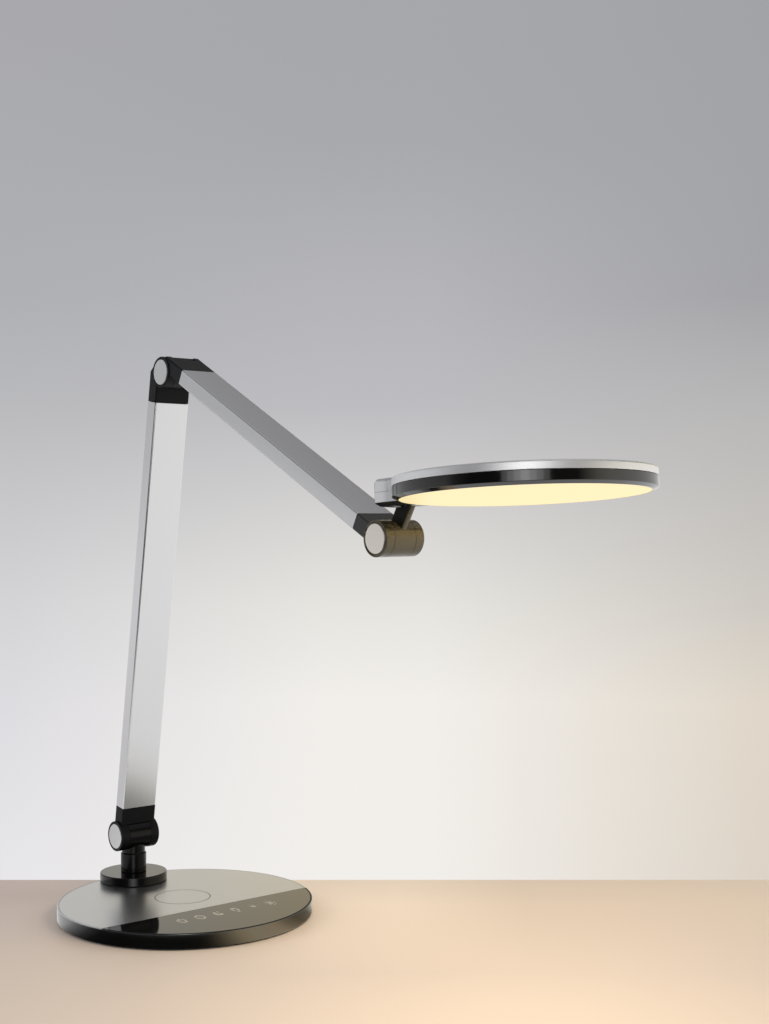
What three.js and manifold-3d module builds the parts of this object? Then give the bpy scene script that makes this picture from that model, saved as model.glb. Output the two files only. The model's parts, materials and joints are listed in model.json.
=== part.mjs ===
import * as THREE from 'three';
import { mergeVertices } from 'three/addons/utils/BufferGeometryUtils.js';
import Module from 'manifold-3d';

const wasm = await Module();
wasm.setup();

// Desk lamp with a swivelling two-part arm and a round light head.
// All lengths are millimetres and all angles are degrees.
// The frame's origin is the middle of the flat underside, with +Z up.
// The lamp reaches forward along -Y, and its three hinges turn about X.

// Clearances
const seat = 0.3;
const running = 0.5;
const overrun = 3;
const weld = 0.0001;

// Facet counts
const broadSides = 60;
const roundSides = 24;
const innerSides = 28;
const smallSides = 12;
const nutSides = 6;
const filletSteps = 3;
const crownSteps = 2;

// Base
const baseRadius = 100;
const baseHeight = 12.2;
const baseWall = 2.2;
const baseRim = 1.1;
const baseEdge = 0.5;
const padThickness = 1;
const padInset = 3;
const coverThickness = 1.4;
const coverInset = 0.4;
const plateThickness = 1.3;
const deckThickness = 1;
const panelShare = 0.325;
const panelSeam = 0.3;
const coilCentre = 8;
const coilRadius = 21.5;
const coilBore = 9;
const coilThickness = 0.9;
const ferriteRadius = 24;
const ferriteThickness = 0.9;
const weightInset = 16;
const boardThickness = 1.6;
const boardWidth = 64;
const boardMargin = 4;
const boardGap = 19;
const touchBoardThickness = 1.2;
const touchBoardWidth = 96;
const touchBoardDepth = 14;
const touchRowShare = 0.525;
const coverScrews = 3;
const coverScrewInset = 8.7;
const coverScrewTurn = 90;
const coverScrewRadius = 1.4;
const coverScrewHead = 2.5;
const coverScrewHeadDepth = 0.8;
const coverScrewLength = 5.5;
const coverBossWall = 1.6;

// Inlet in the back of the base
const inletTurn = 28.142;
const inletWidth = 9;
const inletDepth = 14;
const inletInset = 2.47;
const inletBore = 3.1;
const inletBoreDepth = 10;
const inletPin = 0.8;
const inletPinLength = 4.6;

// Turntable and post
const swivelInset = 19;
const turntableRadius = 27.5;
const turntableHeight = 6.9;
const turntableEdge = 0.7;
const spindleRadius = 5;
const spindleBore = 3.2;
const spindleGrip = 12;
const swivelNutRadius = 8.6;
const swivelNutThickness = 2.4;
const swivelWasherRadius = 8.4;
const swivelWasherThickness = 0.8;
const swivelBossRadius = 9.4;
const postStep = 1;
const neckInset = 0.5;
const neckDrop = 2.4;
const neckSlope = 0.9;
const lowerHingeHeight = 50.6;

// Hinges
const barrelRadius = 12.3;
const barrelEdge = 0.6;
const lowerHingeProud = 1.8;
const lowerEar = 6.3;
const armHingeProud = 0.7;
const armEar = 6.2;
const hingeWasherThickness = 0.5;
const hingeWasherRadius = 9.6;
const capRadius = 10;
const capThickness = 1.5;
const capProud = 0.4;
const capEdge = 0.4;
const boltRadius = 3.9;
const boltHeadRadius = 6.6;
const boltHeadThickness = 2.4;
const boltNutRadius = 7;
const boltNutThickness = 2.4;

// Arm tubes and sockets
const armWidth = 31.2;
const armThickness = 12.2;
const armCorner = 1.4;
const armWall = 1.3;
const socketReach = 24.5;
const elbowForkReach = 27.5;
const plugLength = 14;
const lowerLength = 385.4;
const lowerLean = 8.7;
const elbowSetBack = 11.2;
const elbowShoulder = 6.6;
const elbowShoulderDrop = 1.6;
const upperLength = 296.4;
const upperSlope = 27.1;
const upperLift = 7.5;
const forkRelief = 5;
const leadWidth = 7;
const leadThickness = 1.8;

// Head lever and its swivel
const leverThickness = 5.4;
const leverDepth = 13.4;
const leverCorner = 2;
const leverLean = 30;
const leverHeight = 20.9;
const headSpindleRadius = 3.4;
const headSwivelReach = 9.6;
const headYaw = 12.5;
const headPitch = 4.5;
const headRoll = 1.26;
const headNutRadius = 6.6;
const headNutThickness = 2.6;
const headWasherRadius = 6.8;
const headWasherThickness = 0.8;

// Head bracket
const bracketWidth = 31.6;
const bracketReach = 26.8;
const bracketCorner = 7.5;
const bracketFoot = 0.6;
const bracketBaseThickness = 2.1;
const bracketTaper = 3.6;
const bracketSeam = 9.6;
const bracketTop = 18.8;
const bracketFloor = 2;
const bracketCrown = 3.2;
const lugWidth = 5;
const lugSide = 11.6;
const lugReach = 15;
const lugBottom = 5.4;
const lugTop = 8.1;
const bracketScrewRadius = 1.1;
const bracketScrewHead = 2;
const bracketScrewHeadDepth = 0.9;

// Round head
const headRadius = 82.3;
const headBevel = 1.8;
const headSplit = 8.4;
const headTop = 13.7;
const headWall = 1.9;
const headTopEdge = 1.4;
const coverTopThickness = 1.6;
const diffuserInset = 4.4;
const diffuserLip = 1.3;
const diffuserThickness = 2.8;
const guideInset = 6.3;
const guideThickness = 3;
const ledThickness = 1;
const ledInset = 0.6;
const reflectorThickness = 0.8;

// Levels and distances that follow from the sizes above
const panelChord = baseRadius * panelShare;
const touchRow = baseRadius * touchRowShare;
const weightRadius = baseRadius - weightInset;
const coverScrewCircle = baseRadius - coverScrewInset;
const swivelBack = baseRadius - swivelInset;
const boardBack = swivelBack - boardGap;
const boardDepth = boardBack - coilCentre - ferriteRadius - boardMargin;
const inletAngle = THREE.MathUtils.degToRad(inletTurn);
const inletSide = (baseRadius - inletInset) * Math.sin(inletAngle);
const inletBack = (baseRadius - inletInset) * Math.cos(inletAngle);
const diffuserRadius = headRadius - diffuserInset;
const guideRadius = headRadius - guideInset;
const coverBottom = padThickness + seat;
const coverTop = coverBottom + coverThickness;
const plateBottom = baseHeight - plateThickness;
const deckTop = plateBottom - seat;
const deckBottom = deckTop - deckThickness;
const coilTop = deckBottom - seat;
const coilBottom = coilTop - coilThickness;
const ferriteTop = coilBottom - seat;
const ferriteBottom = ferriteTop - ferriteThickness;
const weightBottom = coverTop + seat;
const weightTop = ferriteBottom - seat;
const wallInner = baseRadius - baseWall;
const plateRadius = baseRadius - baseRim - seat;
const swivelNutBottom = coverTop + seat;
const swivelNutTop = swivelNutBottom + swivelNutThickness;
const swivelWasherBottom = swivelNutTop + seat;
const swivelWasherTop = swivelWasherBottom + swivelWasherThickness;
const swivelBossBottom = swivelWasherTop + seat;
const turntableBottom = baseHeight + running;
const turntableTop = turntableBottom + turntableHeight;
const postBottom = turntableTop + seat;
const neckTop = lowerHingeHeight - barrelRadius;
const neckBottom = neckTop - neckDrop;
const hingeGap = hingeWasherThickness + seat + seat;
const lowerHingeHalf = armWidth / 2 + lowerHingeProud;
const armHingeHalf = armWidth / 2 + armHingeProud;
const lowerKnuckleHalf = lowerHingeHalf - lowerEar - hingeGap;
const armKnuckleHalf = armHingeHalf - armEar - hingeGap;
const neckRadius = lowerKnuckleHalf - neckInset;
const postRadius = neckRadius + postStep;
const notchRadius = barrelRadius + running;
const innerWidth = armWidth - 2 * armWall;
const innerThickness = armThickness - 2 * armWall;
const innerCorner = armCorner / 2;

// Places of the hinges, in the frame of the whole lamp
const lowerHinge = new THREE.Vector3(0, swivelBack, lowerHingeHeight);
const leanTurn = THREE.MathUtils.degToRad(lowerLean);
const slopeTurn = THREE.MathUtils.degToRad(90 + upperSlope);
const leverTurn = THREE.MathUtils.degToRad(leverLean);
const xAxis = new THREE.Vector3(1, 0, 0);
const elbowHinge = new THREE.Vector3(0, -elbowSetBack, lowerLength);
elbowHinge.applyAxisAngle(xAxis, leanTurn);
elbowHinge.add(lowerHinge);
const headHinge = new THREE.Vector3(0, upperLift, upperLength);
headHinge.applyAxisAngle(xAxis, slopeTurn);
headHinge.add(elbowHinge);

// Frame of the head: origin in the middle of its underside, +Y back to the bracket
const headUp = new THREE.Vector3(
  Math.tan(THREE.MathUtils.degToRad(headRoll)),
  Math.tan(THREE.MathUtils.degToRad(headPitch)),
  1,
);
headUp.normalize();
const yawTurn = THREE.MathUtils.degToRad(headYaw);
const headBack = new THREE.Vector3(-Math.sin(yawTurn), Math.cos(yawTurn), 0);
const headSide = headBack.clone().cross(headUp).normalize();
headBack.copy(headUp).cross(headSide);
const leverForward = leverHeight * Math.tan(leverTurn);
const headSwivel = headHinge.clone();
headSwivel.y -= leverForward;
headSwivel.z += leverHeight;
const swivelRadius = headRadius + headSwivelReach;
const headCentre = headSwivel.clone().addScaledVector(headBack, -swivelRadius);
const headFrame = new THREE.Matrix4().makeBasis(headSide, headBack, headUp);
headFrame.setPosition(headCentre);

const group = new THREE.Group();

// Turns a closed three.js geometry into a solid body for cutting and joining
function solid(geometry) {
  const bare = geometry.clone();
  bare.deleteAttribute('normal');
  bare.deleteAttribute('uv');
  const merged = mergeVertices(bare, weld);
  const spots = merged.attributes.position.array;
  const index = merged.index.array;
  const faces = [];
  for (let i = 0; i < index.length; i += 3) {
    const [a, b, c] = [index[i], index[i + 1], index[i + 2]];
    if (a !== b && b !== c && c !== a) {
      faces.push([a, b, c]);
    }
  }
  const corner = (i) => new THREE.Vector3().fromArray(spots, 3 * i);
  let volume = 0;
  for (const [a, b, c] of faces) {
    volume += corner(a).dot(corner(b).cross(corner(c)));
  }
  const order = volume < 0 ? faces.map(([a, b, c]) => [a, c, b]) : faces;
  const mesh = new wasm.Mesh({
    numProp: 3,
    vertProperties: new Float32Array(spots),
    triVerts: new Uint32Array(order.flat()),
  });
  return new wasm.Manifold(mesh);
}

// Turns a solid body back into a geometry
function surface(body) {
  const mesh = body.getMesh();
  const geometry = new THREE.BufferGeometry();
  const spots = new Float32Array(mesh.vertProperties);
  geometry.setAttribute('position', new THREE.BufferAttribute(spots, 3));
  geometry.setIndex(new THREE.BufferAttribute(new Uint32Array(mesh.triVerts), 1));
  geometry.computeVertexNormals();
  return geometry;
}

const finishes = {
  silver: { color: 0xc4c6c8, roughness: 0.32, metalness: 0.9 },
  black: { color: 0x101012, roughness: 0.14, metalness: 0 },
  panel: { color: 0x0a0a0c, roughness: 0.08, metalness: 0 },
  steel: { color: 0x9a9b9c, roughness: 0.4, metalness: 1 },
  rubber: { color: 0x1c1c1c, roughness: 0.9, metalness: 0 },
  board: { color: 0x1f5c3a, roughness: 0.6, metalness: 0 },
  copper: { color: 0xb06a3a, roughness: 0.4, metalness: 1 },
  ferrite: { color: 0x3a3a3c, roughness: 0.8, metalness: 0 },
  light: { color: 0xfff0b8, roughness: 0.5, metalness: 0 },
  clear: { color: 0xf2f4f0, roughness: 0.1, metalness: 0 },
  white: { color: 0xf4f4f2, roughness: 0.7, metalness: 0 },
};

function add(name, body, finish) {
  const material = new THREE.MeshStandardMaterial(finishes[finish]);
  const mesh = new THREE.Mesh(surface(body), material);
  mesh.name = name;
  group.add(mesh);
}

// Simple closed forms
function block(left, right, front, back, bottom, top) {
  const box = new THREE.BoxGeometry(right - left, back - front, top - bottom);
  return box.translate((left + right) / 2, (front + back) / 2, (bottom + top) / 2);
}

function upright(radius, bottom, top, sides, x = 0, y = 0) {
  const rod = new THREE.CylinderGeometry(radius, radius, top - bottom, sides);
  rod.rotateX(Math.PI / 2);
  return rod.translate(x, y, (bottom + top) / 2);
}

function crossways(radius, left, right, sides) {
  const rod = new THREE.CylinderGeometry(radius, radius, right - left, sides);
  rod.rotateZ(Math.PI / 2);
  return rod.translate((left + right) / 2, 0, 0);
}

function turned(profile, sides) {
  const points = profile.map(([radius, height]) => new THREE.Vector2(radius, height));
  return new THREE.LatheGeometry(points, sides).rotateX(Math.PI / 2);
}

function roundedShape(width, depth, corner) {
  const shape = new THREE.Shape();
  const [x, y] = [width / 2, depth / 2];
  shape.moveTo(-x + corner, -y);
  shape.lineTo(x - corner, -y);
  shape.absarc(x - corner, -y + corner, corner, -Math.PI / 2, 0);
  shape.lineTo(x, y - corner);
  shape.absarc(x - corner, y - corner, corner, 0, Math.PI / 2);
  shape.lineTo(-x + corner, y);
  shape.absarc(-x + corner, y - corner, corner, Math.PI / 2, Math.PI);
  shape.lineTo(-x, -y + corner);
  shape.absarc(-x + corner, -y + corner, corner, Math.PI, 1.5 * Math.PI);
  return shape;
}

function raised(shape, bottom, top) {
  const settings = { depth: top - bottom, bevelEnabled: false, curveSegments: filletSteps };
  return new THREE.ExtrudeGeometry(shape, settings).translate(0, 0, bottom);
}

// A flat pattern that draws in by the inset above its top and below its bottom
function beveled(shape, bottom, top, inset, height, steps) {
  const settings = {
    depth: top - bottom,
    bevelThickness: height,
    bevelSize: inset,
    bevelOffset: -inset,
    bevelSegments: steps,
    curveSegments: filletSteps,
  };
  return new THREE.ExtrudeGeometry(shape, settings).translate(0, 0, bottom);
}

function bar(width, thickness, corner, bottom, top, lift = 0) {
  return raised(roundedShape(width, thickness, corner), bottom, top).translate(0, lift, 0);
}

// A flat pattern drawn in Y and Z, given depth along X
function sideways(shape, left, right) {
  const settings = { depth: right - left, bevelEnabled: false, curveSegments: 2 * filletSteps };
  const geometry = new THREE.ExtrudeGeometry(shape, settings);
  const turn = new THREE.Matrix4().makeBasis(
    new THREE.Vector3(0, 1, 0),
    new THREE.Vector3(0, 0, 1),
    new THREE.Vector3(1, 0, 0),
  );
  return geometry.applyMatrix4(turn).translate(left, 0, 0);
}

function placed(geometry, turn, spot) {
  return geometry.rotateX(turn).translate(spot.x, spot.y, spot.z);
}

function joined(...forms) {
  return forms.map((form) => solid(form)).reduce((whole, next) => whole.add(next));
}

// Base shell: side wall, rim and deck in one moulding
const shellBottom = coverBottom;
const shellProfile = [
  [0, deckBottom],
  [wallInner, deckBottom],
  [wallInner, shellBottom],
  [baseRadius - baseEdge, shellBottom],
  [baseRadius, shellBottom + baseEdge],
  [baseRadius, baseHeight - baseEdge],
  [baseRadius - baseEdge, baseHeight],
  [baseRadius - baseRim, baseHeight],
  [baseRadius - baseRim, deckTop],
  [0, deckTop],
];
let shell = solid(turned(shellProfile, broadSides));
const swivelBoss = upright(swivelBossRadius, swivelBossBottom, deckTop, roundSides, 0, swivelBack);
shell = shell.add(solid(swivelBoss));
const swivelHole = spindleRadius + running;
const swivelCut = upright(swivelHole, 0, baseHeight + overrun, roundSides, 0, swivelBack);
const screwSpots = [];
for (let i = 0; i < coverScrews; i += 1) {
  const turn = THREE.MathUtils.degToRad(coverScrewTurn + 180 + (360 * i) / coverScrews);
  screwSpots.push([coverScrewCircle * Math.cos(turn), coverScrewCircle * Math.sin(turn)]);
}
const screwHole = coverScrewRadius + seat;
const bossRadius = screwHole + coverBossWall;
const bossFloor = coverTop + seat;
for (const [x, y] of screwSpots) {
  shell = shell.add(solid(upright(bossRadius, bossFloor, deckTop, smallSides, x, y)));
}
const screwTip = coverBottom + coverScrewLength;
for (const [x, y] of screwSpots) {
  shell = shell.subtract(solid(upright(screwHole, 0, screwTip + seat, smallSides, x, y)));
}
shell = shell.subtract(solid(swivelCut));

// The inlet faces straight back, in a pocket of the round wall
const inletBottom = coverTop + seat;
const inletTop = plateBottom - seat;
const inletMiddle = (inletBottom + inletTop) / 2;
const inletLeft = inletSide - inletWidth / 2;
const inletRight = inletSide + inletWidth / 2;
const inletPocket = block(
  inletLeft - seat,
  inletRight + seat,
  inletBack - inletDepth - seat,
  baseRadius,
  inletBottom - seat,
  inletTop + overrun * seat,
);
shell = shell.subtract(solid(inletPocket));
add('base_shell', shell, 'black');

const along = (geometry, x, y, z) => geometry.rotateZ(Math.PI / 2).translate(x, y, z);
const inletBoreFloor = inletBack - inletBoreDepth;
const inletBoreCut = crossways(inletBore, inletBoreFloor, inletBack + overrun, smallSides);
const inletPinForm = crossways(
  inletPin,
  inletBoreFloor - seat,
  inletBoreFloor + inletPinLength,
  smallSides / 2,
);
const inletBody = block(
  inletLeft,
  inletRight,
  inletBack - inletDepth,
  inletBack,
  inletBottom,
  inletTop,
);
const inlet = solid(inletBody).subtract(solid(along(inletBoreCut, inletSide, 0, inletMiddle)));
add('dc_socket', inlet.add(solid(along(inletPinForm, inletSide, 0, inletMiddle))), 'black');

// Silver plate and black touch panel share the round recess of the rim
const plateDisc = upright(plateRadius, plateBottom, baseHeight, broadSides);
const plateHole = upright(swivelHole, 0, baseHeight + overrun, roundSides, 0, swivelBack);
const frontEdge = -panelChord - panelSeam / 2;
const backEdge = -panelChord + panelSeam / 2;
const beyond = baseRadius + overrun;
const frontHalf = block(-beyond, beyond, -beyond, backEdge, 0, baseHeight + overrun);
const backHalf = block(-beyond, beyond, frontEdge, beyond, 0, baseHeight + overrun);
const plate = solid(plateDisc).subtract(solid(frontHalf)).subtract(solid(plateHole));
add('base_plate', plate, 'silver');
add('touch_panel', solid(plateDisc).subtract(solid(backHalf)), 'panel');

const touchBoard = bar(
  touchBoardWidth,
  touchBoardDepth,
  armCorner,
  deckBottom - seat - touchBoardThickness,
  deckBottom - seat,
  -touchRow,
);
add('touch_board', solid(touchBoard), 'board');

const coilOuter = upright(coilRadius, coilBottom, coilTop, roundSides, 0, coilCentre);
const coilInner = upright(coilBore, 0, baseHeight, roundSides, 0, coilCentre);
add('charge_coil', solid(coilOuter).subtract(solid(coilInner)), 'copper');
const ferrite = upright(ferriteRadius, ferriteBottom, ferriteTop, roundSides, 0, coilCentre);
add('ferrite_sheet', solid(ferrite), 'ferrite');

const boardBottom = weightTop + seat;
const mainBoard = bar(
  boardWidth,
  boardDepth,
  armCorner,
  boardBottom,
  boardBottom + boardThickness,
  0,
).translate(0, boardBack - boardDepth / 2, 0);
add('main_board', solid(mainBoard), 'board');

const weightDisc = upright(weightRadius, weightBottom, weightTop, innerSides);
const nutRoom = upright(
  swivelBossRadius + overrun,
  0,
  baseHeight,
  roundSides,
  0,
  swivelBack,
);
const inletRoom = block(
  inletLeft - overrun,
  inletRight + overrun,
  inletBack - inletDepth - overrun,
  baseRadius,
  0,
  baseHeight,
);
let weight = solid(weightDisc).subtract(solid(nutRoom)).subtract(solid(inletRoom));
for (const [x, y] of screwSpots) {
  const bossRoom = upright(bossRadius + running, 0, baseHeight, smallSides, x, y);
  weight = weight.subtract(solid(bossRoom));
}
add('base_weight', weight, 'steel');

const coverRadius = wallInner - coverInset;
let cover = solid(upright(coverRadius, coverBottom, coverTop, innerSides));
const headRoomTop = coverBottom + coverScrewHeadDepth + seat;
for (const [x, y] of screwSpots) {
  const hole = upright(screwHole, 0, baseHeight, smallSides, x, y);
  const headRoom = upright(coverScrewHead + seat, 0, headRoomTop, smallSides, x, y);
  cover = cover.subtract(solid(hole)).subtract(solid(headRoom));
}
add('bottom_cover', cover, 'black');
const padRadius = baseRadius - padInset;
add('foot_pad', solid(upright(padRadius, 0, padThickness, broadSides)), 'rubber');

const screwProfile = [
  [0, 0],
  [coverScrewHead, 0],
  [coverScrewHead, coverScrewHeadDepth],
  [coverScrewRadius, coverScrewHeadDepth],
  [coverScrewRadius, coverScrewLength],
  [0, coverScrewLength],
];
screwSpots.forEach(([x, y], i) => {
  const screw = turned(screwProfile, smallSides).translate(x, y, coverBottom);
  add(`cover_screw_${i + 1}`, solid(screw), 'steel');
});

// Turntable: disc, post, hollow spindle, washer and nut
const turntableProfile = [
  [0, turntableBottom],
  [turntableRadius, turntableBottom],
  [turntableRadius, turntableTop - turntableEdge],
  [turntableRadius - turntableEdge, turntableTop],
  [0, turntableTop],
];
const onSwivel = (geometry) => geometry.translate(0, swivelBack, 0);
const spindleSleeve = upright(spindleRadius + seat, 0, postBottom + spindleGrip + seat, roundSides);
const sleeve = solid(onSwivel(spindleSleeve));
const disc = solid(onSwivel(turned(turntableProfile, broadSides)));
add('turntable_disc', disc.subtract(sleeve), 'black');

const postProfile = [
  [0, postBottom],
  [postRadius, postBottom],
  [postRadius, neckBottom - neckSlope],
  [neckRadius, neckBottom],
  [neckRadius, lowerHingeHeight],
  [0, lowerHingeHeight],
];
const post = solid(onSwivel(turned(postProfile, roundSides)));
const lowerKnuckle = placed(
  crossways(barrelRadius, -lowerKnuckleHalf, lowerKnuckleHalf, roundSides),
  0,
  lowerHinge,
);
const boltHole = boltRadius + running;
const lowerPinHole = placed(
  crossways(boltHole, -lowerKnuckleHalf - overrun, lowerKnuckleHalf + overrun, smallSides),
  0,
  lowerHinge,
);
const postBody = post.add(solid(lowerKnuckle)).subtract(sleeve).subtract(solid(lowerPinHole));
add('post', postBody, 'black');

const spindleBottom = coverTop + seat;
const spindleRod = upright(spindleRadius, spindleBottom, postBottom + spindleGrip, roundSides);
const spindleHollow = upright(spindleBore, 0, lowerHingeHeight, smallSides);
const spindle = solid(onSwivel(spindleRod)).subtract(solid(onSwivel(spindleHollow)));
add('swivel_spindle', spindle, 'steel');
const washerRing = upright(
  swivelWasherRadius,
  swivelWasherBottom,
  swivelWasherTop,
  smallSides,
);
add('swivel_washer', solid(onSwivel(washerRing)).subtract(sleeve), 'steel');
const nutRing = upright(swivelNutRadius, swivelNutBottom, swivelNutTop, nutSides);
add('swivel_nut', solid(onSwivel(nutRing)).subtract(sleeve), 'steel');

// Fork: two ears round a hinge, with a body that plugs into the tube along +Z
function fork(half, knuckleHalf, lift, reach) {
  const earInner = knuckleHalf + hingeGap;
  const earForms = [-1, 1].map((side) => {
    const profile = [
      [0, earInner],
      [barrelRadius, earInner],
      [barrelRadius, half - barrelEdge],
      [barrelRadius - barrelEdge, half],
      [0, half],
    ];
    return turned(profile, roundSides).rotateY((side * Math.PI) / 2);
  });
  const body = bar(armWidth, armThickness, armCorner, 0, reach, lift);
  const plug = bar(
    innerWidth - 2 * seat,
    innerThickness - 2 * seat,
    innerCorner,
    reach - seat,
    reach + plugLength,
    lift,
  );
  const notch = solid(crossways(notchRadius, -earInner, earInner, roundSides));
  const reliefDepth = lift === 0 ? seat : forkRelief;
  const high = barrelRadius + armThickness;
  const relief = solid(block(-earInner, earInner, -high, high, -high, reliefDepth));
  const bodies = solid(body).add(solid(plug)).subtract(notch).subtract(relief);
  return joined(...earForms).add(bodies).subtract(hingeBores(half));
}

// Bores for the bolt, its head and nut, and the two caps
function hingeBores(half) {
  const capFloor = half + capProud - capThickness - seat;
  const headFloor = capFloor - seat - boltHeadThickness - seat;
  const nutFloor = capFloor - seat - boltNutThickness - seat;
  const outside = half + overrun;
  return joined(
    crossways(boltRadius + seat, -outside, outside, smallSides),
    crossways(capRadius + seat, -outside, -capFloor, roundSides),
    crossways(capRadius + seat, capFloor, outside, roundSides),
    crossways(boltHeadRadius + seat, -capFloor - seat, -headFloor, smallSides),
    crossways(boltNutRadius + seat, nutFloor, capFloor + seat, smallSides),
  );
}

// Bolt, nut, washers and caps of one hinge
function hingeHardware(name, half, knuckleHalf, spot) {
  const capInner = half + capProud - capThickness;
  const headOuter = capInner - seat - seat;
  const headInner = headOuter - boltHeadThickness;
  const nutInner = headOuter - boltNutThickness;
  const bolt = joined(
    placed(crossways(boltHeadRadius, -headOuter, -headInner, smallSides), 0, spot),
    placed(crossways(boltRadius, -headInner - seat, headOuter, smallSides), 0, spot),
  );
  add(`${name}_bolt`, bolt, 'steel');
  const nut = placed(crossways(boltNutRadius, nutInner, headOuter, nutSides), 0, spot);
  const bore = crossways(boltRadius + seat, -half, half, smallSides);
  const boreForm = solid(placed(bore, 0, spot));
  add(`${name}_nut`, solid(nut).subtract(boreForm), 'steel');
  const washerInner = knuckleHalf + seat;
  const washerOuter = washerInner + hingeWasherThickness;
  const capProfile = [
    [0, capInner],
    [capRadius, capInner],
    [capRadius, capInner + capThickness - capEdge],
    [capRadius - capEdge, capInner + capThickness],
    [0, capInner + capThickness],
  ];
  for (const [side, word] of [[-1, 'left'], [1, 'right']]) {
    const disc = crossways(hingeWasherRadius, washerInner, washerOuter, smallSides);
    disc.rotateY(side < 0 ? Math.PI : 0);
    const washer = solid(placed(disc, 0, spot)).subtract(boreForm);
    add(`${name}_washer_${word}`, washer, 'rubber');
    const cap = turned(capProfile, roundSides).rotateY((side * Math.PI) / 2);
    add(`${name}_cap_${word}`, solid(placed(cap, 0, spot)), 'silver');
  }
}

function at(body, turn, spot) {
  return solid(placed(surface(body), turn, spot));
}

// Hollow tube with a flat lead inside, along +Z of its arm
function tube(name, start, end, lift, turn, spot) {
  const shape = roundedShape(armWidth, armThickness, armCorner);
  shape.holes.push(roundedShape(innerWidth, innerThickness, innerCorner));
  const form = raised(shape, start, end).translate(0, lift, 0);
  add(`${name}_tube`, solid(placed(form, turn, spot)), 'silver');
  const leadLift = lift + innerThickness / 2 - seat - leadThickness / 2;
  const leadStart = start + plugLength + running;
  const leadEnd = end - plugLength - running;
  const lead = bar(leadWidth, leadThickness, leadThickness / 3, leadStart, leadEnd, leadLift);
  add(`${name}_lead`, solid(placed(lead, turn, spot)), 'rubber');
}

// Lower arm
const lowerFork = fork(lowerHingeHalf, lowerKnuckleHalf, 0, socketReach);
add('lower_fork', at(lowerFork, leanTurn, lowerHinge), 'black');
tube(
  'lower',
  socketReach + seat,
  lowerLength - socketReach - seat,
  0,
  leanTurn,
  lowerHinge,
);
hingeHardware('lower_hinge', lowerHingeHalf, lowerKnuckleHalf, lowerHinge);

// Elbow knuckle: the barrel stands in front of the tube, with a sloped shoulder behind
const shoulderBack = -elbowSetBack - armThickness / 2;
const shoulderSlope = elbowShoulder + elbowShoulderDrop;
const shoulder = new THREE.Shape();
shoulder.moveTo(0, socketReach);
shoulder.lineTo(0, -elbowShoulder);
shoulder.lineTo(shoulderBack + shoulderSlope, -elbowShoulder);
shoulder.lineTo(shoulderBack, elbowShoulderDrop);
shoulder.lineTo(shoulderBack, socketReach);
const shoulderForm = sideways(shoulder, -armWidth / 2 - overrun, armWidth / 2 + overrun);
const elbowBar = bar(
  armWidth,
  armThickness,
  armCorner,
  -elbowShoulder,
  socketReach,
  -elbowSetBack,
);
const elbowPlug = bar(
  innerWidth - 2 * seat,
  innerThickness - 2 * seat,
  innerCorner,
  socketReach - seat,
  socketReach + plugLength,
  -elbowSetBack,
);
let elbowKnuckle = solid(elbowBar).intersect(solid(shoulderForm));
for (const side of [-1, 1]) {
  const room = crossways(notchRadius, armKnuckleHalf, armWidth, roundSides);
  room.rotateY(side < 0 ? Math.PI : 0);
  elbowKnuckle = elbowKnuckle.subtract(solid(room));
}
const elbowBarrel = crossways(barrelRadius, -armKnuckleHalf, armKnuckleHalf, roundSides);
const elbowBore = crossways(boltHole, -armWidth, armWidth, smallSides);
elbowKnuckle = elbowKnuckle.add(solid(elbowBarrel)).add(solid(elbowPlug));
elbowKnuckle = elbowKnuckle.subtract(solid(elbowBore));
add('elbow_knuckle', at(elbowKnuckle, leanTurn + Math.PI, elbowHinge), 'black');

// Upper arm
const elbowFork = fork(armHingeHalf, armKnuckleHalf, upperLift, elbowForkReach);
add('elbow_fork', at(elbowFork, slopeTurn, elbowHinge), 'black');
tube(
  'upper',
  elbowForkReach + seat,
  upperLength - socketReach - seat,
  upperLift,
  slopeTurn,
  elbowHinge,
);
hingeHardware('elbow', armHingeHalf, armKnuckleHalf, elbowHinge);
const headFork = fork(armHingeHalf, armKnuckleHalf, 0, socketReach);
add('head_fork', at(headFork, slopeTurn + Math.PI, headHinge), 'black');
hingeHardware('head_hinge', armHingeHalf, armKnuckleHalf, headHinge);

// Head lever: knuckle, leaning blade and the spindle that the head swivels on
const inHead = (geometry) => geometry.applyMatrix4(headFrame);
const bracketBaseTop = bracketFoot + bracketBaseThickness;
const bracketLowerBottom = bracketBaseTop + seat;
const headWasherBottom = bracketLowerBottom + bracketFloor + seat;
const headWasherTop = headWasherBottom + headWasherThickness;
const headNutBottom = headWasherTop + seat;
const headNutTop = headNutBottom + headNutThickness;
const bladeTop = bracketFoot - running;
const knuckleForm = crossways(barrelRadius, -armKnuckleHalf, armKnuckleHalf, roundSides);
const bladeForm = bar(leverThickness, leverDepth, leverCorner, 0, leverHeight * 2);
const aboveBlade = inHead(
  block(
    -armWidth,
    armWidth,
    swivelRadius - armWidth,
    swivelRadius + armWidth,
    bladeTop,
    bladeTop + 2 * leverHeight,
  ),
);
const headSpindle = inHead(
  upright(headSpindleRadius, bladeTop - seat, headNutTop, smallSides, 0, swivelRadius),
);
const headPinHole = crossways(boltHole, -armWidth, armWidth, smallSides);
const blade = solid(placed(bladeForm, leverTurn, headHinge)).subtract(solid(aboveBlade));
const lever = solid(placed(knuckleForm, 0, headHinge))
  .add(blade)
  .add(solid(headSpindle))
  .subtract(solid(placed(headPinHole, 0, headHinge)));
add('head_lever', lever, 'black');

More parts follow.
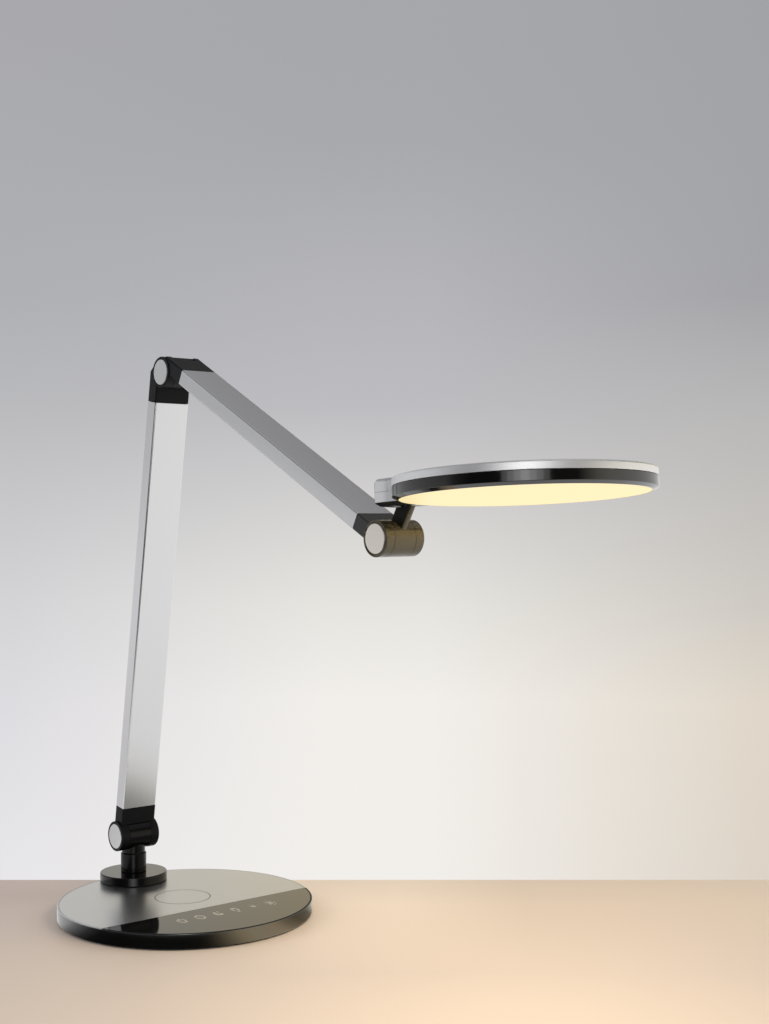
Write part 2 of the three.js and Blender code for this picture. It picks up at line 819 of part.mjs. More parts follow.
// Bracket between the swivel and the round head
const bracketShape = roundedShape(bracketWidth, 2 * bracketReach, bracketCorner);
const bracketSlab = (bottom, top) => raised(bracketShape, bottom, top).translate(0, headRadius, 0);
function bracketLayer(bottom, top) {
  const back = headRadius + 2 * bracketReach;
  return solid(block(-bracketWidth, bracketWidth, 0, back, bottom, top));
}
const headRoom = solid(upright(headRadius + seat, -headTop, 2 * headTop, broadSides));
const spindleRoom = solid(
  upright(headSpindleRadius + seat, -headTop, headNutTop + seat, smallSides, 0, swivelRadius),
);
const inWorld = (body) => solid(inHead(surface(body)));

const footTop = bracketBaseTop + seat;
const footForm = beveled(
  bracketShape,
  bracketBaseTop,
  footTop,
  bracketTaper,
  bracketBaseThickness,
  1,
);
let foot = solid(footForm.translate(0, headRadius, 0));
foot = foot.intersect(bracketLayer(bracketFoot, bracketBaseTop));
const runningSpindle = solid(
  upright(headSpindleRadius + running, -headTop, headNutTop, smallSides, 0, swivelRadius),
);
foot = foot.subtract(headRoom).subtract(runningSpindle);
add('bracket_base', inWorld(foot), 'black');

const lugMiddle = (lugBottom + lugTop) / 2;
const lugs = [-1, 1].map((side) => {
  const middle = side * lugSide;
  return [
    middle - lugWidth / 2,
    middle + lugWidth / 2,
    headRadius - headWall,
    headRadius + lugReach,
  ];
});
const lugRooms = joined(
  ...lugs.map(([left, right, front, back]) => {
    return block(
      left - seat,
      right + seat,
      front - overrun,
      back + seat,
      lugBottom - seat,
      lugTop + seat,
    );
  }),
);
const screwLine = headRadius + lugReach / 2;
const bracketScrewTop = bracketSeam + (bracketTop - bracketSeam) / 2;
const screwRooms = joined(
  ...[-1, 1].flatMap((side) => {
    const x = side * lugSide;
    const hole = bracketScrewRadius + seat;
    const head = bracketScrewHead + seat;
    const headRoomHeight = bracketLowerBottom + bracketScrewHeadDepth + seat;
    return [
      upright(hole, -headTop, bracketScrewTop + seat, smallSides / 2, x, screwLine),
      upright(head, -headTop, headRoomHeight, smallSides / 2, x, screwLine),
    ];
  }),
);
const nutRoomRadius = headWasherRadius + running;
const nutRoomTop = headNutTop + running;
const headNutRoom = solid(
  upright(nutRoomRadius, headWasherBottom - seat, nutRoomTop, smallSides, 0, swivelRadius),
);
let bracketLower = solid(bracketSlab(bracketLowerBottom, bracketSeam));
bracketLower = bracketLower.subtract(headRoom).subtract(lugRooms).subtract(screwRooms);
bracketLower = bracketLower.subtract(runningSpindle).subtract(headNutRoom);
add('bracket_lower', inWorld(bracketLower), 'silver');
const crownForm = beveled(
  bracketShape,
  bracketSeam,
  bracketTop - bracketCrown,
  bracketCrown,
  bracketCrown,
  crownSteps,
);
let bracketUpper = solid(crownForm.translate(0, headRadius, 0));
bracketUpper = bracketUpper.intersect(bracketLayer(bracketSeam + seat, bracketTop));
bracketUpper = bracketUpper.subtract(headRoom).subtract(screwRooms).subtract(headNutRoom);
add('bracket_upper', inWorld(bracketUpper), 'silver');

const headWasher = solid(
  upright(headWasherRadius, headWasherBottom, headWasherTop, smallSides, 0, swivelRadius),
);
add('head_washer', inWorld(headWasher.subtract(spindleRoom)), 'steel');
const headNut = solid(
  upright(headNutRadius, headNutBottom, headNutTop, nutSides, 0, swivelRadius),
);
add('head_nut', inWorld(headNut.subtract(spindleRoom)), 'steel');
const bracketScrewProfile = [
  [0, bracketLowerBottom],
  [bracketScrewHead, bracketLowerBottom],
  [bracketScrewHead, bracketLowerBottom + bracketScrewHeadDepth],
  [bracketScrewRadius, bracketLowerBottom + bracketScrewHeadDepth],
  [bracketScrewRadius, bracketScrewTop],
  [0, bracketScrewTop],
];
[-1, 1].forEach((side, i) => {
  const screw = turned(bracketScrewProfile, smallSides / 2);
  screw.translate(side * lugSide, screwLine, 0);
  add(`bracket_screw_${i + 1}`, inWorld(solid(screw)), 'steel');
});

// Round head: black ring, silver cover and the light parts between them
const ledgeRadius = headRadius - headWall;
const lipTop = diffuserLip - seat;
const ringProfile = [
  [diffuserRadius + seat, 0],
  [headRadius, headBevel],
  [headRadius, headSplit - seat],
  [ledgeRadius, headSplit - seat],
  [ledgeRadius, lipTop],
  [diffuserRadius + seat, lipTop],
  [diffuserRadius + seat, 0],
];
let ring = solid(turned(ringProfile, broadSides));
for (const [left, right, front, back] of lugs) {
  ring = ring.add(solid(block(left, right, front + running, back, lugBottom, lugTop)));
}
const ringScrewHoles = joined(
  ...[-1, 1].map((side) => {
    const hole = bracketScrewRadius + seat;
    return upright(hole, lugMiddle - headTop, headTop, smallSides / 2, side * lugSide, screwLine);
  }),
);
ring = ring.subtract(ringScrewHoles);
add('head_ring', inWorld(ring), 'black');

const coverInnerTop = headTop - coverTopThickness;
const headCoverProfile = [
  [0, coverInnerTop],
  [ledgeRadius, coverInnerTop],
  [ledgeRadius, headSplit],
  [headRadius, headSplit],
  [headRadius, headTop - headTopEdge],
];
for (let i = 1; i <= filletSteps; i += 1) {
  const turn = (i * Math.PI) / (2 * filletSteps);
  const radius = headRadius - headTopEdge + headTopEdge * Math.cos(turn);
  const height = headTop - headTopEdge + headTopEdge * Math.sin(turn);
  headCoverProfile.push([radius, height]);
}
headCoverProfile.push([0, headTop]);
add('head_cover', inWorld(solid(turned(headCoverProfile, broadSides))), 'silver');

const flangeRadius = ledgeRadius - seat;
const diffuserProfile = [
  [0, 0],
  [diffuserRadius, 0],
  [diffuserRadius, diffuserLip],
  [flangeRadius, diffuserLip],
  [flangeRadius, diffuserThickness],
  [0, diffuserThickness],
];
add('diffuser', inWorld(solid(turned(diffuserProfile, broadSides))), 'light');
const guideBottom = diffuserThickness + seat;
const guideTop = guideBottom + guideThickness;
const guide = upright(guideRadius, guideBottom, guideTop, innerSides);
add('light_guide', inWorld(solid(guide)), 'clear');
const ledInner = guideRadius + ledInset;
const ledProfile = [
  [ledInner, guideBottom],
  [ledInner + ledThickness, guideBottom],
  [ledInner + ledThickness, guideTop],
  [ledInner, guideTop],
  [ledInner, guideBottom],
];
add('led_strip', inWorld(solid(turned(ledProfile, innerSides))), 'white');
const reflectorBottom = guideTop + seat;
const reflector = upright(
  ledInner + ledThickness,
  reflectorBottom,
  reflectorBottom + reflectorThickness,
  innerSides,
);
add('reflector', inWorld(solid(reflector)), 'white');

export default group;
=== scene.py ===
# %% [markdown]
# # A desk lamp with a two-part arm and a round light head
#
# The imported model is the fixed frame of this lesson. Every piece made here is in the same
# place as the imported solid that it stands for, and it moves with the same body. The packed
# solids are plain, with few faces. The pieces here have round edges, fine seams and finishes.

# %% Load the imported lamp
import json
from math import atan2, cos, hypot, pi, radians, sin, tan

import bmesh
import bpy
from mathutils import Matrix, Vector


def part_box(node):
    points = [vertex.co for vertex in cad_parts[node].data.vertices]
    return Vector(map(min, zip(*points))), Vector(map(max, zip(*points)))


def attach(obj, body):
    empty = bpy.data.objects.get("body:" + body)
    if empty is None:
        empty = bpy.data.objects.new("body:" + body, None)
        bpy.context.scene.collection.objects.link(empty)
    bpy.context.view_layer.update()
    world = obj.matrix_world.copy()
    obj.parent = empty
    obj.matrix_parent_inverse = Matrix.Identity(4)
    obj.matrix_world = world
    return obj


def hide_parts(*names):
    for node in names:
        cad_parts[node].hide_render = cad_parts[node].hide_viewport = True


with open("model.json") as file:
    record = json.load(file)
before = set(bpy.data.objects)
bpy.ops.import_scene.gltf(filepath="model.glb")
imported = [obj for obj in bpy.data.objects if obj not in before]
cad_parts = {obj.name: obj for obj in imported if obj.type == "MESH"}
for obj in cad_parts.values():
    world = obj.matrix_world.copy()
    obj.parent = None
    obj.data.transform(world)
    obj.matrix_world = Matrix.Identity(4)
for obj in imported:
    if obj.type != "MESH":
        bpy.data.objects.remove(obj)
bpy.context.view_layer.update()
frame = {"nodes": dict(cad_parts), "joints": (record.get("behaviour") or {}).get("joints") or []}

scene = bpy.context.scene
nodes = frame["nodes"]

# %% [markdown]
# ## Sizes
#
# The drawing of the lamp is in millimetres, while Blender's unit is the metre. So each piece
# is drawn in millimetres round its own hinge or centre, and one matrix then sets it in its
# place and scales it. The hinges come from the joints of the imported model.

# %% Units and hinge places
MM = 0.001
TO_METRES = Matrix.Scale(MM, 4)
joints = {joint["name"]: joint for joint in frame["joints"]}
lower_hinge, elbow, head_hinge, head_swivel = [
    Vector(joints[name]["pos_m"]) / MM
    for name in ("lower_hinge", "elbow", "head_hinge", "head_swivel")
]
AT_ORIGIN = Matrix.Identity(4)


def moved(x, y, z):
    return Matrix.Translation((x, y, z))


on_swivel = moved(0, lower_hinge.y, 0)
print("arm lengths", (elbow - lower_hinge).length, (head_hinge - elbow).length)

# %% [markdown]
# Each arm has a frame of its own: the hinge is its origin and the arm runs along its local Z.
# The head's frame sits in the middle of its underside, with local Y back to the bracket and
# local Z along the axis of the head's swivel joint.

# %% Frames of the arms and the head
LOWER_LEAN = radians(8.7)
UPPER_SLOPE = radians(90 + 27.1)
HEAD_RADIUS = 82.3
HEAD_YAW = radians(12.5)
SWIVEL_REACH = 9.6
SWIVEL_RADIUS = HEAD_RADIUS + SWIVEL_REACH


def hinge_frame(place, turn):
    return Matrix.Translation(place) @ Matrix.Rotation(turn, 4, "X")


lower_frame = hinge_frame(lower_hinge, LOWER_LEAN)
elbow_down_frame = hinge_frame(elbow, LOWER_LEAN + pi)
upper_frame = hinge_frame(elbow, UPPER_SLOPE)
head_end_frame = hinge_frame(head_hinge, UPPER_SLOPE + pi)
head_up = Vector(joints["head_swivel"]["axis"]).normalized()
flat_back = Vector((-sin(HEAD_YAW), cos(HEAD_YAW), 0))
head_side = flat_back.cross(head_up).normalized()
head_back = head_up.cross(head_side)
head_centre = head_swivel - head_back * SWIVEL_RADIUS
head_frame = Matrix((head_side, head_back, head_up)).transposed().to_4x4()
head_frame.translation = head_centre
print("head centre", [round(value, 1) for value in head_centre])

# %% [markdown]
# ## Making round and flat forms
#
# Moulded and turned parts have no sharp edge: there is always a small radius, and it is what
# catches the light. So an outline here may give a radius with any corner, and the corner
# becomes an arc before the outline is turned or extruded.

# %% Outlines with rounded corners
ARC_STEPS = 4


def outward(form):
    """The form with all its faces turned outwards."""
    bmesh.ops.recalc_face_normals(form, faces=form.faces)
    return form


def eased(points, closed=False):
    """Points are (x, y) or (x, y, radius). A corner with a radius becomes an arc."""
    outline = []
    for i, point in enumerate(points):
        here = Vector(point[:2])
        at_end = not closed and i in (0, len(points) - 1)
        if len(point) < 3 or at_end:
            outline.append(here)
            continue
        back = (Vector(points[i - 1][:2]) - here).normalized()
        ahead = (Vector(points[(i + 1) % len(points)][:2]) - here).normalized()
        half_angle = back.angle(ahead) / 2
        reach = point[2] / tan(half_angle)
        centre = here + (back + ahead).normalized() * (point[2] / sin(half_angle))
        first = here + back * reach - centre
        last = here + ahead * reach - centre
        start = atan2(first.y, first.x)
        sweep = atan2(first.cross(last), first.dot(last))
        for step in range(ARC_STEPS + 1):
            angle = start + sweep * step / ARC_STEPS
            spoke = Vector((cos(angle), sin(angle))) * point[2]
            outline.append(centre + spoke)
    return outline


# %% Turned solids
MARK_SIDES = 32
BORE_SIDES = 48
HINGE_SIDES = 96
CAP_SIDES = 128
DISC_SIDES = 192
RIM_SIDES = 256


def turned(profile, sides=HINGE_SIDES):
    """A solid turned round Z from (radius, height, corner radius) points."""
    form = bmesh.new()
    on_axis = profile[0][0] == 0 and profile[-1][0] == 0
    rings = []
    for point in eased(profile, closed=not on_axis):
        if point.x < MM:
            rings.append([form.verts.new((0, 0, point.y))])
            continue
        turns = [2 * pi * i / sides for i in range(sides)]
        rings.append([form.verts.new((point.x * cos(a), point.x * sin(a), point.y))
                      for a in turns])
    following = rings[1:] if on_axis else rings[1:] + rings[:1]
    for ring, after in zip(rings, following):
        for i in range(sides):
            j = (i + 1) % sides
            corners = [ring[i % len(ring)], ring[j % len(ring)],
                       after[j % len(after)], after[i % len(after)]]
            corners = list(dict.fromkeys(corners))
            if len(corners) > 2:
                form.faces.new(corners)
    return outward(form)


def rod(radius, bottom, top, sides=HINGE_SIDES):
    return turned([(0, bottom), (radius, bottom), (radius, top), (0, top)], sides)


# %% [markdown]
# A slab is a stack of outlines. They get smaller near its top and bottom, so the long edges
# come out round. The arm sockets, the tubes and the bracket are all such stacks.

# %% Stacked outlines


def drawn_in(corners, inset):
    """The same outline of (x, y, radius) corners, smaller by the inset all round."""
    outline = []
    for i, (x, y, radius) in enumerate(corners):
        here = Vector((x, y))
        back = (here - Vector(corners[i - 1][:2])).normalized()
        ahead = (Vector(corners[(i + 1) % len(corners)][:2]) - here).normalized()
        inward = Vector((-back.y - ahead.y, back.x + ahead.x))
        shift = inward * inset / (1 + back.dot(ahead))
        outline.append((x + shift.x, y + shift.y, max(radius - inset, MM)))
    return outline


def rounded_top(bottom, top, edge):
    quarter = [pi / 2 * step / ARC_STEPS for step in range(ARC_STEPS + 1)]
    return [(0, bottom)] + [(edge * (1 - cos(a)), top - edge * (1 - sin(a))) for a in quarter]


def rounded_ends(bottom, top, edge):
    if edge == 0:
        return [(0, bottom), (0, top)]
    upper = rounded_top(bottom, top, edge)[1:]
    return [(inset, bottom + top - height) for inset, height in reversed(upper)] + upper


# %% Solids from loops


def skinned(form, loops, closed=False):
    """Faces round a row of equal loops, and end faces unless the row closes up."""
    for loop, after in zip(loops, loops[1:] + loops[:closed]):
        for i in range(len(loop)):
            j = (i + 1) % len(loop)
            form.faces.new((loop[i], loop[j], after[j], after[i]))
    if not closed:
        form.faces.new(reversed(loops[0]))
        form.faces.new(loops[-1])
    return outward(form)


def stack(corners, levels):
    """A solid with one outline at each (inset, height) level."""
    form = bmesh.new()
    loops = [[form.verts.new((*p, height)) for p in eased(drawn_in(corners, inset), closed=True)]
             for inset, height in levels]
    return skinned(form, loops)


def slab(width, depth, corner, bottom, top, edge=0.0, middle=(0, 0)):
    left, right = middle[0] - width / 2, middle[0] + width / 2
    front, back = middle[1] - depth / 2, middle[1] + depth / 2
    corners = [(left, front, corner), (right, front, corner), (right, back, corner),
               (left, back, corner)]
    return stack(corners, rounded_ends(bottom, top, edge))


# %% Prisms and boxes


def prism(outline, left, right):
    """A flat outline in Y and Z, given depth along X."""
    form = bmesh.new()
    ends = [[form.verts.new((x, *p)) for p in outline] for x in (left, right)]
    return skinned(form, ends)


def box(left, right, front, back, bottom, top):
    return prism([(front, bottom), (back, bottom), (back, top), (front, top)], left, right)


# %% [markdown]
# Cutting and joining come next, with Blender's exact Boolean modifier, which is applied straight
# away. A small last bevel rounds the edges that the cuts leave. Weighted normals then let the
# large faces shade flat, so that only the small round edges bend the light.

# %% Turning sideways, and making objects


def sideways(side):
    """Turns what stands along Z to the right (1) or to the left (-1)."""
    return Matrix.Rotation(side * pi / 2, 4, "Y")


ACROSS = sideways(1)


def new_object(name, data):
    thing = bpy.data.objects.new(name, data)
    scene.collection.objects.link(thing)
    return thing


def as_object(form, turn=None):
    """The form as an object. What is an object already stays as it is."""
    if isinstance(form, bpy.types.Object):
        return form
    if turn is not None:
        form.transform(turn)
    mesh = bpy.data.meshes.new("form")
    form.to_mesh(mesh)
    form.free()
    return new_object("form", mesh)


# %% Cutting and joining


def settle(piece):
    """Applies the modifiers, so that the piece is a plain mesh again."""
    bpy.context.view_layer.update()
    graph = bpy.context.evaluated_depsgraph_get()
    mesh = bpy.data.meshes.new_from_object(piece.evaluated_get(graph))
    before = piece.data
    piece.modifiers.clear()
    piece.data = mesh
    bpy.data.meshes.remove(before)
    return piece


def combine(piece, form, operation, turn=None):
    tool = as_object(form, turn)
    change = piece.modifiers.new("combine", "BOOLEAN")
    change.operation = operation
    change.solver = "EXACT"
    change.object = tool
    settle(piece)
    bpy.data.objects.remove(tool)
    return piece


def cut(piece, form, turn=None):
    return combine(piece, form, "DIFFERENCE", turn)


def weld(piece, form, turn=None):
    return combine(piece, form, "UNION", turn)


# %% Dressing a piece
BEVEL_ANGLE = radians(35)
SHARP_ANGLE = radians(32)


def dress(name, piece, place, body, material, stands_for=(), bevel=0.0):
    """Puts a piece in place with its finish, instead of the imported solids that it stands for."""
    piece = as_object(piece)
    if bevel > 0:
        edge = piece.modifiers.new("edge", "BEVEL")
        edge.width = bevel
        edge.segments = 2
        edge.limit_method = "ANGLE"
        edge.angle_limit = BEVEL_ANGLE
        settle(piece)
    piece.name = name
    piece.data.transform(TO_METRES @ place)
    piece.data.shade_smooth()
    piece.data.set_sharp_from_angle(angle=SHARP_ANGLE)
    flat_shading = piece.modifiers.new("flat_faces", "WEIGHTED_NORMAL")
    flat_shading.keep_sharp = True
    settle(piece)
    piece.data.name = name
    piece.data.materials.clear()
    piece.data.materials.append(material)
    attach(piece, body)
    if stands_for:
        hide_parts(*stands_for)
    print(name, "on", body, "with", len(piece.data.polygons), "faces")
    return piece


def second_finish(piece, material, picks):
    """Another finish on the faces that picks(centre, normal) accepts, both in metres."""
    piece.data.materials.append(material)
    for face in piece.data.polygons:
        if picks(face.center, face.normal):
            face.material_index = len(piece.data.materials) - 1


# %% [markdown]
# ## Finishes
#
# A finish is a Principled shader with noise: the noise varies the roughness and the tone and
# gives a fine bump, because no real moulding or anodised tube is perfectly even. It uses object
# coordinates, so it stays on the piece when a joint turns. One number for a colour means a grey,
# and one number for the grain means that it is as fine in all directions. A painted image could
# do the same, but noise stays sharp from close by and needs no file.

# %% Adding a node


def is_socket(value):
    return isinstance(value, bpy.types.NodeSocket)


def add_node(tree, kind, inputs=None, **settings):
    """A new node. An input is linked if its value is a socket, and set if it is plain."""
    node = tree.nodes.new(f"ShaderNode{kind}")
    for name, value in settings.items():
        setattr(node, name, value)
    for name, value in (inputs or {}).items():
        if is_socket(value):
            tree.links.new(value, node.inputs[name])
        else:
            node.inputs[name].default_value = value
    return node


# %% A finish with grain
SMOOTHEST = 0.02
RELIEF_DEPTH = 0.2 * MM
materials = {}


def triple(value):
    """Three numbers, from three or from one."""
    return (value,) * 3 if isinstance(value, (int, float)) else tuple(value)


def finish(name, color, roughness, metallic=0.0, grain=900, turn=(0, 0, 0), tone=0.04,
           spread=0.05, bump=0.02, **sockets):
    material = bpy.data.materials.new(name)
    material.use_nodes = True
    tree = material.node_tree
    shader = tree.nodes["Principled BSDF"]
    for socket, value in {"Metallic": metallic, **sockets}.items():
        shader.inputs[socket.replace("_", " ")].default_value = value
    place = add_node(tree, "TexCoord").outputs["Object"]
    scale = [1 / size for size in triple(grain)]
    mapping = add_node(tree, "Mapping", {"Vector": place, "Rotation": turn, "Scale": scale},
                       vector_type="TEXTURE")
    pattern = {"Vector": mapping.outputs["Vector"], "Scale": 1.0, "Detail": 3.0}
    noise = add_node(tree, "TexNoise", pattern).outputs["Fac"]
    darker = [value * (1 - tone) for value in triple(color)]
    lighter = [min(1, value * (1 + tone)) for value in triple(color)]
    shade = add_node(tree, "Mix", {"Factor": noise, "A": (*darker, 1), "B": (*lighter, 1)},
                     data_type="RGBA")
    rough = add_node(tree, "MapRange", {"Value": noise, "To Max": roughness + spread,
                                        "To Min": max(SMOOTHEST, roughness - spread)})
    relief = add_node(tree, "Bump", {"Height": noise, "Strength": bump, "Distance": RELIEF_DEPTH})
    tree.links.new(shade.outputs["Result"], shader.inputs["Base Color"])
    tree.links.new(rough.outputs["Result"], shader.inputs["Roughness"])
    tree.links.new(relief.outputs["Normal"], shader.inputs["Normal"])
    materials[name] = material
    return material


# %% [markdown]
# The tubes are aluminium with a fine satin grain along their length, so each arm has its own
# turned copy of that finish; the upper copy is a little darker, a painted shade. The base is
# gloss plastic, the arm's mouldings are satin, and the touch panel is a smoother sheet of black
# acrylic. Blacks differ mostly in how they reflect, so most of them set the index of refraction
# or the strength of the reflection. Three finishes paint light: the head's black is warm in its
# colour and its reflections as if lit by the lamp, the blade's sides get a darker black as
# painted shade, and the head's caps get a lighter, warmer copy of the cap silver.

# %% The finishes of this lamp
SILVER = (0.74, 0.74, 0.745)
ALONG_ARM = (2600, 2600, 60)
lower_silver = finish("lower_tube_silver", SILVER, 0.28, 1.0, grain=ALONG_ARM,
                      turn=(LOWER_LEAN, 0, 0), tone=0.02, spread=0.015)
# Painted shade: the upper tube's silver is a little darker than the lower tube's.
upper_shaded_silver = finish("upper_tube_shaded_silver", [value * 0.93 for value in SILVER], 0.28, 1.0,
                      grain=ALONG_ARM, turn=(UPPER_SLOPE, 0, 0), tone=0.02, spread=0.015)
plate_silver = finish("plate_silver", 0.69, 0.3, 1.0, grain=(2600, 60, 2600), bump=0.06)
head_silver = finish("head_silver", (0.8, 0.8, 0.805), 0.4, 1.0, grain=1600)
lid_silver = finish("lid_silver", (0.88, 0.88, 0.885), 0.5, 1.0, grain=1600)
cap_silver = finish("cap_silver", 0.67, 0.36, 1.0, grain=1400)
# Painted light: a lighter, warmer copy of the cap silver, for the caps lit by the lamp head.
lamp_lit_cap = finish("lamp_lit_cap", (0.82, 0.78, 0.7), 0.36, 1.0, grain=1400)
gloss_black = finish("gloss_black", 0.002, 0.1, grain=500, spread=0.04, IOR=1.7)
disc_black = finish("disc_black", 0.002, 0.12, grain=500, spread=0.04, IOR=1.42)
wall_black = finish("wall_black", 0.002, 0.1, grain=500, spread=0.04, IOR=2.4)
arm_black = finish("arm_black", (0.004, 0.004, 0.0048), 0.44, spread=0.06, bump=0.04,
                   Specular_IOR_Level=0.16)
# Painted light: a black warmed in its colour and its reflections, as if lit by the lamp's own
# glow.
lamp_lit_black = finish("lamp_lit_black", (0.017, 0.015, 0.01), 0.24, bump=0.03, IOR=1.7,
                    Specular_Tint=(1.0, 0.87, 0.6, 1))
socket_black = finish("socket_black", (0.012, 0.012, 0.011), 0.4, spread=0.06, bump=0.04,
                      Specular_IOR_Level=0.5)
# Painted shade: a darker, duller black for the blade's flat sides, as if the head shaded them.
blade_shaded_black = finish("blade_shaded_black", (0.004, 0.0035, 0.002), 0.45, bump=0.04,
                     Specular_IOR_Level=0.15)
foot_black = finish("foot_black", (0.02, 0.022, 0.02), 0.3, grain=700)
post_black = finish("post_black", 0.003, 0.18, grain=700, spread=0.04, Specular_IOR_Level=0.2)
panel_black = finish("panel_black", 0.004, 0.06, grain=300, spread=0.02, bump=0.005, IOR=1.35)
matte_black = finish("matte_black", 0.02, 0.5, grain=2500, bump=0.15)
rubber = finish("pad_rubber", 0.025, 0.85, grain=1800, bump=0.25)
zinc = finish("zinc_steel", (0.6, 0.6, 0.61), 0.32, 1.0, grain=1500, bump=0.05)
nylon = finish("washer_nylon", 0.03, 0.45, grain=1500)
solder_mask = finish("solder_mask", (0.02, 0.16, 0.06), 0.4, grain=700, tone=0.12)
winding = finish("copper_winding", (0.7, 0.32, 0.14), 0.35, 1.0, grain=(3000, 300, 3000), bump=0.2)
ferrite = finish("ferrite_black", (0.05, 0.05, 0.055), 0.7, grain=2500, bump=0.1)
clear_acrylic = finish("clear_acrylic", (0.93, 0.95, 0.93), 0.08, grain=400,
                       Transmission_Weight=0.9)
white_film = finish("white_film", (0.86, 0.86, 0.84), 0.6, grain=1200)
mark_grey = finish("mark_print", (0.38, 0.35, 0.29), 0.45, grain=2500)
ring_grey = finish("ring_print", (0.03, 0.028, 0.026), 0.45, grain=2500)
opal = finish("opal_diffuser", (0.1, 0.09, 0.07), 0.45, grain=1500, Specular_IOR_Level=0.1,
              Emission_Color=(1.0, 0.83, 0.44, 1), Emission_Strength=0.88)
print(len(materials), "finishes")

# %% [markdown]
# ## The base
#
# The base is a low round moulding. Its gloss wall ends in a thin rim, and inside it lie two
# sheets: a silver plate over most of the circle, and a black touch panel in front. The wall is
# turned like a bowl, then the pocket of the power inlet is cut. A cylinder with a bevel would be
# quicker, but a turned profile gives each edge a radius of its own. The rim is silver beside the
# plate and satin black beside the panel. SEAT is the gap between pieces that touch, and FAR is
# the reach of a cut that goes right through.

# %% Base wall with the inlet pocket
SEAT = 0.3
FAR = 60
BASE_RADIUS = 100
BASE_TOP = 12.2
SHELL_BOTTOM = 1.3
PANEL_LINE = -32.5
SPINDLE_HOLE = 5.5
INLET_HALF = 4.5
INLET_DEPTH = 14
low_corner, high_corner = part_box("dc_socket")
INLET_SIDE = low_corner.x / MM + INLET_HALF
INLET_BACK = high_corner.y / MM
INLET_LOW = low_corner.z / MM
INLET_HIGH = high_corner.z / MM
SHELL_INSIDE = 97.8
SHELL_CEILING = 9.6
RIM_INSIDE = 98.9
RIM_FLOOR = 10.6
wall_profile = [
    (0, SHELL_CEILING), (SHELL_INSIDE, SHELL_CEILING), (SHELL_INSIDE, SHELL_BOTTOM, 0.2),
    (BASE_RADIUS, SHELL_BOTTOM, 0.9), (BASE_RADIUS, BASE_TOP, 0.55),
    (RIM_INSIDE, BASE_TOP, 0.15), (RIM_INSIDE, RIM_FLOOR), (0, RIM_FLOOR),
]
base_wall = as_object(turned(wall_profile, RIM_SIDES))
pocket_half = INLET_HALF + SEAT
cut(base_wall, box(INLET_SIDE - pocket_half, INLET_SIDE + pocket_half,
                   INLET_BACK - INLET_DEPTH - SEAT, BASE_RADIUS, INLET_LOW - SEAT,
                   INLET_HIGH + 0.9))
cut(base_wall, rod(SPINDLE_HOLE, 0, FAR), on_swivel)
wall_piece = dress("base_wall", base_wall, AT_ORIGIN, "base", wall_black, ["base_shell"])
second_finish(wall_piece, arm_black, lambda centre, normal: normal.z > 0.5)
second_finish(wall_piece, plate_silver,
              lambda centre, normal: normal.z > 0.5 and centre.y > PANEL_LINE * MM)

# %% [markdown]
# The plate and the panel are thin sheets that meet on a straight line. Each could be drawn as
# part of a circle, but it is simpler to turn the full sheet twice and cut a side off each.
# OVERRUN is how far a shorter cut stands out of the piece.

# %% Silver plate and touch panel
OVERRUN = 3
PLATE_THICKNESS = 1.3
PLATE_RADIUS = 98.6
sheet_profile = [(0, BASE_TOP - PLATE_THICKNESS), (PLATE_RADIUS, BASE_TOP - PLATE_THICKNESS),
                 (PLATE_RADIUS, BASE_TOP, 0.25), (0, BASE_TOP)]
WIDE = BASE_RADIUS + OVERRUN
silver_plate = as_object(turned(sheet_profile, RIM_SIDES))
cut(silver_plate, box(-WIDE, WIDE, -WIDE, PANEL_LINE + 0.15, 0, BASE_TOP + OVERRUN))
cut(silver_plate, rod(SPINDLE_HOLE, 0, FAR), on_swivel)
dress("silver_plate", silver_plate, AT_ORIGIN, "base", plate_silver, ["base_plate"])
black_panel = as_object(turned(sheet_profile, RIM_SIDES))
cut(black_panel, box(-WIDE, WIDE, PANEL_LINE - 0.15, WIDE, 0, BASE_TOP + OVERRUN))
dress("black_panel", black_panel, AT_ORIGIN, "base", panel_black, ["touch_panel"])

# %% [markdown]
# The foot is a rubber disc with low ring-shaped ribs, so that it grips a desk. A bump could
# stand in for the ribs, but they are few and plain, so they are in the turned profile.

# %% Foot pad with ribs
PAD_RADIUS = 97
PAD_TOP = 1
GROOVE_DEPTH = 0.25
RIB_RADII = (60, 69, 78, 87)
RIB_HALF = 1.1
RIB_FOOT = 1.5
PAD_STEP = 91
pad_profile = [(0, GROOVE_DEPTH)]
for middle in RIB_RADII:
    pad_profile += [(middle - RIB_FOOT, GROOVE_DEPTH), (middle - RIB_HALF, 0, 0.1),
                    (middle + RIB_HALF, 0, 0.1), (middle + RIB_FOOT, GROOVE_DEPTH)]
pad_profile += [(PAD_STEP, GROOVE_DEPTH), (PAD_STEP + 0.5, 0), (PAD_RADIUS, 0, 0.3),
                (PAD_RADIUS, PAD_TOP, 0.2), (0, PAD_TOP)]
dress("ribbed_pad", turned(pad_profile, DISC_SIDES), AT_ORIGIN, "base", rubber, ["foot_pad"])

# %% [markdown]
# The power inlet is a small moulded block in the back wall, with a round bore and a pin. Its
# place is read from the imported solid, so the block always sits in the pocket of the wall.

